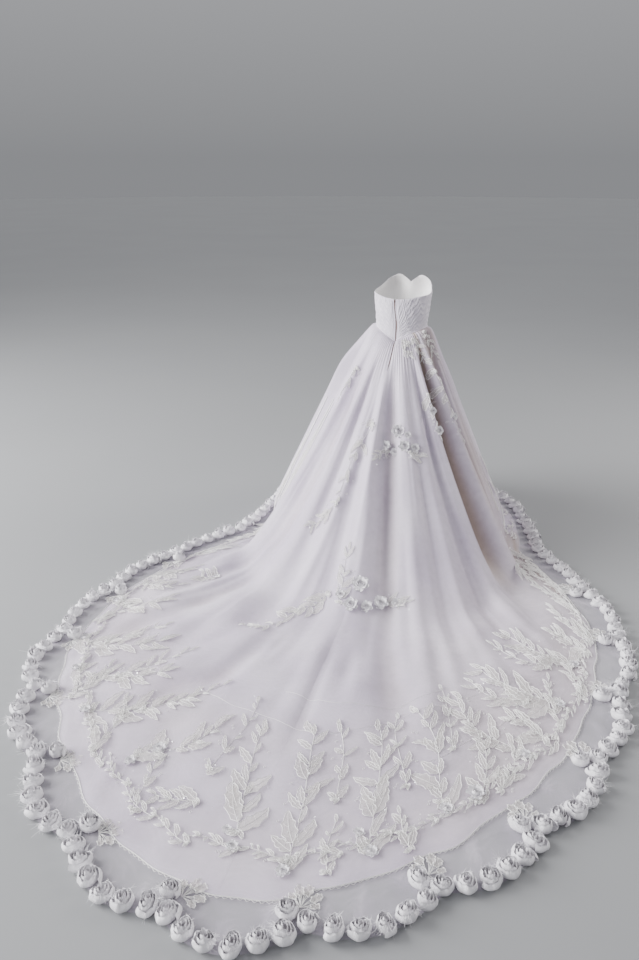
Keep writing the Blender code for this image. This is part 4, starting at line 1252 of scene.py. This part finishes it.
def draw_leaf(sewing, u0, v0, turn, length, half, rng, points=11):
    """A petal: a corded outline, a vein, short side veins if it is large, a sheer ground."""
    t = np.linspace(0.0, 1.0, points)
    heading = turn * (1 - rng.uniform(0.1, 1.1) * t) + rng.uniform(-0.35, 0.35) * t * t
    du, dv = np.cos(heading), np.sin(heading)
    step = length / (points - 1)
    u = u0 + np.concatenate([[0.0], np.cumsum(du[:-1] * step)])
    v = v0 + np.concatenate([[0.0], np.cumsum(dv[:-1] * step)])
    wide = half * np.sin(math.pi * t ** 0.75) ** 0.8
    frill = wide * (1 + 0.20 * np.sin(t * 2.0 * points + rng.uniform(0, 6)))
    lift = 0.0014 + 0.0050 * np.sin(math.pi * t) * rng.uniform(0.3, 1.2)
    for side in (-1.0, 1.0):
        sewing.cord(u - dv * frill * side, v + du * frill * side, lift + 0.0009, 0.00115)
    sewing.cord(u, v, lift + 0.0003, 0.0008)
    if points > 9:
        for at, side in ((0.18, 0.92), (0.34, -0.92), (0.50, 0.92), (0.66, -0.92)):
            ts = at + np.array([0.0, 0.05, 0.13])
            cu, cv, cw = np.interp(ts, t, u), np.interp(ts, t, v), np.interp(ts, t, wide)
            cdu, cdv, rise = np.interp(ts, t, du), np.interp(ts, t, dv), np.interp(ts, t, lift)
            aside = cw * side * np.array([0.0, 0.5, 1.0])
            sewing.cord(cu - cdv * aside, cv + cdu * aside, rise + 0.0004, 0.0005)
    across = np.array([-1.0, 0.0, 1.0])[None, :]
    gu = u[:, None] - (dv * frill)[:, None] * across
    gv = v[:, None] + (du * frill)[:, None] * across
    gw = lift[:, None] + np.array([0.0004, -0.0004, 0.0004])[None, :]
    sewing.ground(gu, gv, gw)


def draw_ring(sewing, u, v, radius, rise=0.0016):
    turns = np.linspace(0, 2 * math.pi, 9)
    sewing.cord(u + radius * np.cos(turns), v + radius * np.sin(turns), rise + 0 * turns, 0.0008)


def draw_frond(length, half, pairs, seed, points=11):
    """A spray of lace: a stem, long petals on both sides of it, and small rings."""
    rng = np.random.default_rng(seed)
    sewing = Sewing()
    t = np.linspace(0.0, 1.0, 16)
    bow = half * rng.uniform(0.25, 0.55) * rng.choice([-1, 1])
    sway = bow * np.sin(math.pi * t ** 1.3) + half * 0.16 * np.sin(t * 6.0 + rng.uniform(0, 6)) * t
    sewing.cord(length * t, sway, 0.0016 + 0 * t, 0.0012)
    for pair in range(pairs):
        at = (pair + 0.15) / (pairs + 0.2)
        size = 1.0 - 0.45 * at
        for side in (-1.0, 1.0):
            reach = half * 1.85 * size * rng.uniform(0.50, 1.22)
            start = (at + rng.uniform(-0.07, 0.07) + 0.03 * side) * length
            v0 = float(np.interp(start / length, t, sway))
            turn = side * rng.uniform(0.35, 1.20)
            slim = rng.uniform(0.08, 0.17) + 0.05 * (1 - at)
            draw_leaf(sewing, start, v0 + side * 0.001, turn, reach, reach * slim, rng, points)
        if points > 9 or pair % 2:
            for ring in range(2):
                aside = rng.choice([-1, 1]) * half * rng.uniform(0.4, 1.0) * size
                draw_ring(sewing, at * length + 0.011 * ring, aside, 0.0036)
    draw_leaf(sewing, length * 0.93, float(sway[-1]), 0.2, half * 0.85, half * 0.13, rng, points)
    for turn in (-1.0, -0.35, 0.35, 1.0):
        draw_leaf(sewing, length * 0.02, 0.0, math.pi + turn, half * 0.6, half * 0.13, rng, points)
    return sewing


def lace_frond(name, row, seed, stands_for=()):
    cords, grounds = Stock(), Stock()
    root, tip, half, pairs = row[:2], row[2:4], row[4], row[5]
    draw_frond(net_length(root, tip), half, pairs, seed).lay(cords, grounds, root, tip)
    cords.make("cord_" + name, "corded_lace", [CORD], stands_for)
    grounds.make("petals_" + name, "corded_lace", [LACE_GROUND])


def small_lace():
    """The smaller fronds and the garland on the hem, as one piece of cords a side, one of grounds."""
    rows = [row + (11,) for row in SMALL_FRONDS]
    first, last, count = FRONT_FRONDS
    for i in range(count):
        angle = first + (last - first) * (i + 0.5) / count
        rows.append((angle, 1.80, angle + 5 * (-1) ** i, 0.62 + 0.10 * (i % 3), 0.045, 5, 9))
    first, last, count = HEM_GARLAND
    for i in range(count):
        angle = first + (last - first) * i / count
        low, high = 1.915 - 0.015 * (i % 3), 1.895 - 0.015 * (i % 2)
        rows.append((angle, low, angle + 1.1 * (last - first) / count, high, 0.026, 4, 8))
    sides = {"left": (Stock(), Stock()), "right": (Stock(), Stock())}
    for i, row in enumerate(rows):
        side = sides["left" if wrapped(row[0]) >= 0 else "right"]
        drawn = draw_frond(net_length(row[:2], row[2:4]), row[4], row[5], 4000 + i, row[6])
        drawn.lay(side[0], side[1], row[:2], row[2:4])
    for side, (cords, grounds) in sides.items():
        cords.make("small_lace_cords_" + side, "corded_lace", [CORD])
        grounds.make("small_lace_petals_" + side, "corded_lace", [LACE_GROUND])


def picot_edge():
    """A corded edge along the satin's hem, with small loops outside it."""
    cords = Stock()
    angles = np.arange(-75.0, 75.01, 0.13)
    border = net_edge(angles) - satin_hem(angles)
    loops = 0.0030 * (1 + np.sin(along_hem(angles)[0] * 2 * math.pi / 0.022))
    for shift, size in ((0.001 + 0 * loops, 0.0017), (0.002 + loops, 0.0010)):
        path = net_point(angles, 2.0 + shift / border, 0.0012)
        cords.add(*strand(path, np.tile(UP, (len(angles), 1)), size))
    return cords.make("picot_edge", "corded_lace", [CORD])


def layer_edges():
    """Edges of the inner layers of net, seen as fine lines across the train."""
    lines = Stock()
    rows = [
        (1.46, 0.04, -24.0, 14.0, 71),
        (1.36, 0.03, -18.0, 3.0, 72),
        (1.66, 0.04, -27.0, -14.0, 73),
    ]
    for level, dip, first, last, seed in rows:
        angles = np.linspace(first, last, 120)
        place = level - dip * ripple(angles * 0.22, angles * 0.1, seed, 3)
        path = net_point(angles, place, 0.0006)
        lines.add(*strand(path, np.tile(UP, (120, 1)), 0.0007))
    return lines.make("layer_edges", "tulle", [CORD])


# Cloth flowers and sequins


def cloth_flowers(name, flowers, slot_name="organza", stands_for=()):
    """Wound flowers, each on two rings of frilled petals."""
    stock = Stock()
    for i, row in enumerate(flowers):
        angle, place, radius = np.array([row[0]]), np.array([row[1]]), row[2]
        centre = net_point(angle, place, 0.0012)[0]
        normal = skirt_normal(angle, place)[0]
        ahead = skirt_base(angle, place + 0.02)[0] - skirt_base(angle, place)[0]
        seed = 5000 + 40 * i + len(name)
        rng = np.random.default_rng(seed + 200)
        add_rose(stock, centre, ahead, normal, radius * 0.80, radius * 0.62, seed, 8, 2.6, 54)
        for petal in range(11):
            inner = petal % 2
            turn = 2 * math.pi * (petal + rng.uniform(0, 0.6)) / 11
            s, t = np.meshgrid(np.linspace(-1, 1, 7), np.linspace(0, 1, 6))
            reach = radius * (0.40 + (0.95 - 0.30 * inner) * t)
            wide = radius * 0.50 * np.sin(math.pi * (0.12 + 0.76 * t)) * s
            frill = 0.07 * np.sin(5 * s + petal) * t + 0.20 * t * s * s
            rise = 0.0012 + radius * ((0.16 + 0.25 * inner) * t + frill)
            x = reach * math.cos(turn) - wide * math.sin(turn)
            y = reach * math.sin(turn) + wide * math.cos(turn)
            points = on_axes(np.stack([x, y, rise], axis=-1).reshape(-1, 3), centre, ahead, normal)
            # Painted shade on the petals, darker towards the flower's centre
            stock.add(points, grid_faces(6, 7), 0, 0.25 * (1 - t))
    return stock.make(name, slot_name, [ORGANZA], stands_for, sharp=75)


def sequins():
    """Small clear discs scattered over the lace."""
    rng = np.random.default_rng(90)
    rows = np.repeat(np.array([row[:4] for row in FRONDS + SMALL_FRONDS]), 8, axis=0)
    share = rng.uniform(0.0, 1.0, len(rows))
    angle = rows[:, 0] + (rows[:, 2] - rows[:, 0]) * share + rng.normal(0, 1.1, len(rows))
    place = rows[:, 1] + (rows[:, 3] - rows[:, 1]) * share + rng.normal(0, 0.02, len(rows))
    place = np.clip(place, 0.02, 1.98)
    centres = net_point(angle, place, 0.0056)
    normals = unit(skirt_normal(angle, place) + rng.normal(0, 0.5, (len(rows), 3)))
    turns = np.radians(np.arange(8) * 45)
    rim = np.stack([0.0026 * np.cos(turns), 0.0026 * np.sin(turns), 0.0 * turns], axis=-1)
    disc = np.concatenate([rim, [[0.0, 0.0, -0.0006]]])
    around = np.arange(8)
    faces = np.stack([around, (around + 1) % 8, np.full(8, 8)], axis=-1)
    stock = Stock()
    for centre, normal in zip(centres, normals):
        stock.add(on_axes(disc, centre, np.array([1.0, 0.2, 0.1]), normal), faces)
    return stock.make("sequins", "corded_lace", [SEQUIN])


# The gown, then the stage


def dress():
    for name, first, last, strength in BODICE_PANELS:
        bodice_panel(name, first, last, strength)
    waist_piping("left", 0, 180)
    waist_piping("right", 180, 360)
    hidden_zip()
    for name, first, last in SKIRT_PANELS:
        satin_panel(name, first, last)
        net_panel(name, first, last)
    rose_trims()
    cloth_flowers("flowers_high", HIGH_FLOWERS, "organza", ["flower_cluster_high"])
    cloth_flowers("flowers_low", LOW_FLOWERS, "organza", ["flower_cluster_low"])
    cloth_flowers("flowers_on_lace", LOOSE_FLOWERS)
    for i, row in enumerate(FRONDS):
        lace_frond(f"frond_{i + 1:02d}", row, 3000 + i, [f"lace_spray_{i + 1:02d}"])
    small_lace()
    picot_edge()
    layer_edges()
    sequins()


def softbox(name, place, aim, size, power, tint=(1.0, 1.0, 1.0)):
    light = bpy.data.lights.new(name, "AREA")
    light.shape, light.size, light.energy, light.color = "SQUARE", size, power, tint
    made = bpy.data.objects.new(name, light)
    made.location = place
    made.rotation_euler = (Vector(aim) - Vector(place)).to_track_quat("-Z", "Y").to_euler()
    bpy.context.scene.collection.objects.link(made)


def wash(name, strength, spread, direction):
    light = bpy.data.lights.new(name, "SUN")
    light.energy, light.angle = strength, math.radians(spread)
    made = bpy.data.objects.new(name, light)
    made.rotation_euler = Vector(direction).to_track_quat("-Z", "Y").to_euler()
    bpy.context.scene.collection.objects.link(made)


def studio():
    size, floor_height = 40.0, -WAIST_HEIGHT - 0.0005
    bpy.ops.mesh.primitive_circle_add(
        vertices=96, radius=size, fill_type="NGON", location=(0, 0, floor_height)
    )
    floor = bpy.context.object
    floor.name = "studio_floor"
    paper = Finish("floor_paper", roughness=0.85)
    mottle = paper.blend(paper.noise(0.6), colour(0.285, 0.29, 0.30), colour(0.315, 0.32, 0.33))
    paper.drive("Base Color", mottle)
    floor.data.materials.append(paper.material)
    world = bpy.data.worlds.new("pale_studio")
    world.use_nodes = True
    shade = Nodes(world.node_tree)
    direction = shade.node("ShaderNodeTexCoord").outputs["Generated"]
    split = shade.node("ShaderNodeSeparateXYZ", None, {"Vector": direction})
    rise = (Level(shade.tree, split.outputs["Z"]) * 4.0).at_least(0.0).at_most(1.0)
    pale = shade.blend(rise, colour(0.56, 0.57, 0.60), colour(0.95, 0.96, 1.0))
    backdrop = world.node_tree.nodes["Background"]
    feed(world.node_tree, backdrop.inputs["Color"], pale)
    backdrop.inputs["Strength"].default_value = 0.48
    bpy.context.scene.world = world
    softbox("key_left", (6.0, 2.4, 2.0), (0.1, 0.8, -0.8), 4.0, 1000)
    softbox("rim_right", (-4.2, -1.6, 1.8), (0.0, 0.8, -0.8), 2.0, 160, (1.0, 0.97, 0.93))
    wash("wash_left", 2.25, 45, (-0.74, -0.59, -0.32))
    wash("wash_front", 0.65, 60, (-0.15, 0.95, -0.22))


def place_camera():
    lens = bpy.data.cameras.new("photo_camera")
    lens.lens, lens.sensor_width, lens.sensor_fit = 30.0, 36.0, "AUTO"
    made = bpy.data.objects.new("photo_camera", lens)
    turn, tilt = math.radians(16.0), math.radians(22.0)
    look = Vector((math.sin(turn) * math.cos(tilt), -math.cos(turn) * math.cos(tilt), -math.sin(tilt)))
    made.location = (-0.718, 4.015, 0.791)
    made.rotation_euler = look.to_track_quat("-Z", "Y").to_euler()
    bpy.context.scene.collection.objects.link(made)
    bpy.context.scene.camera = made


place_camera()
studio()
dress()
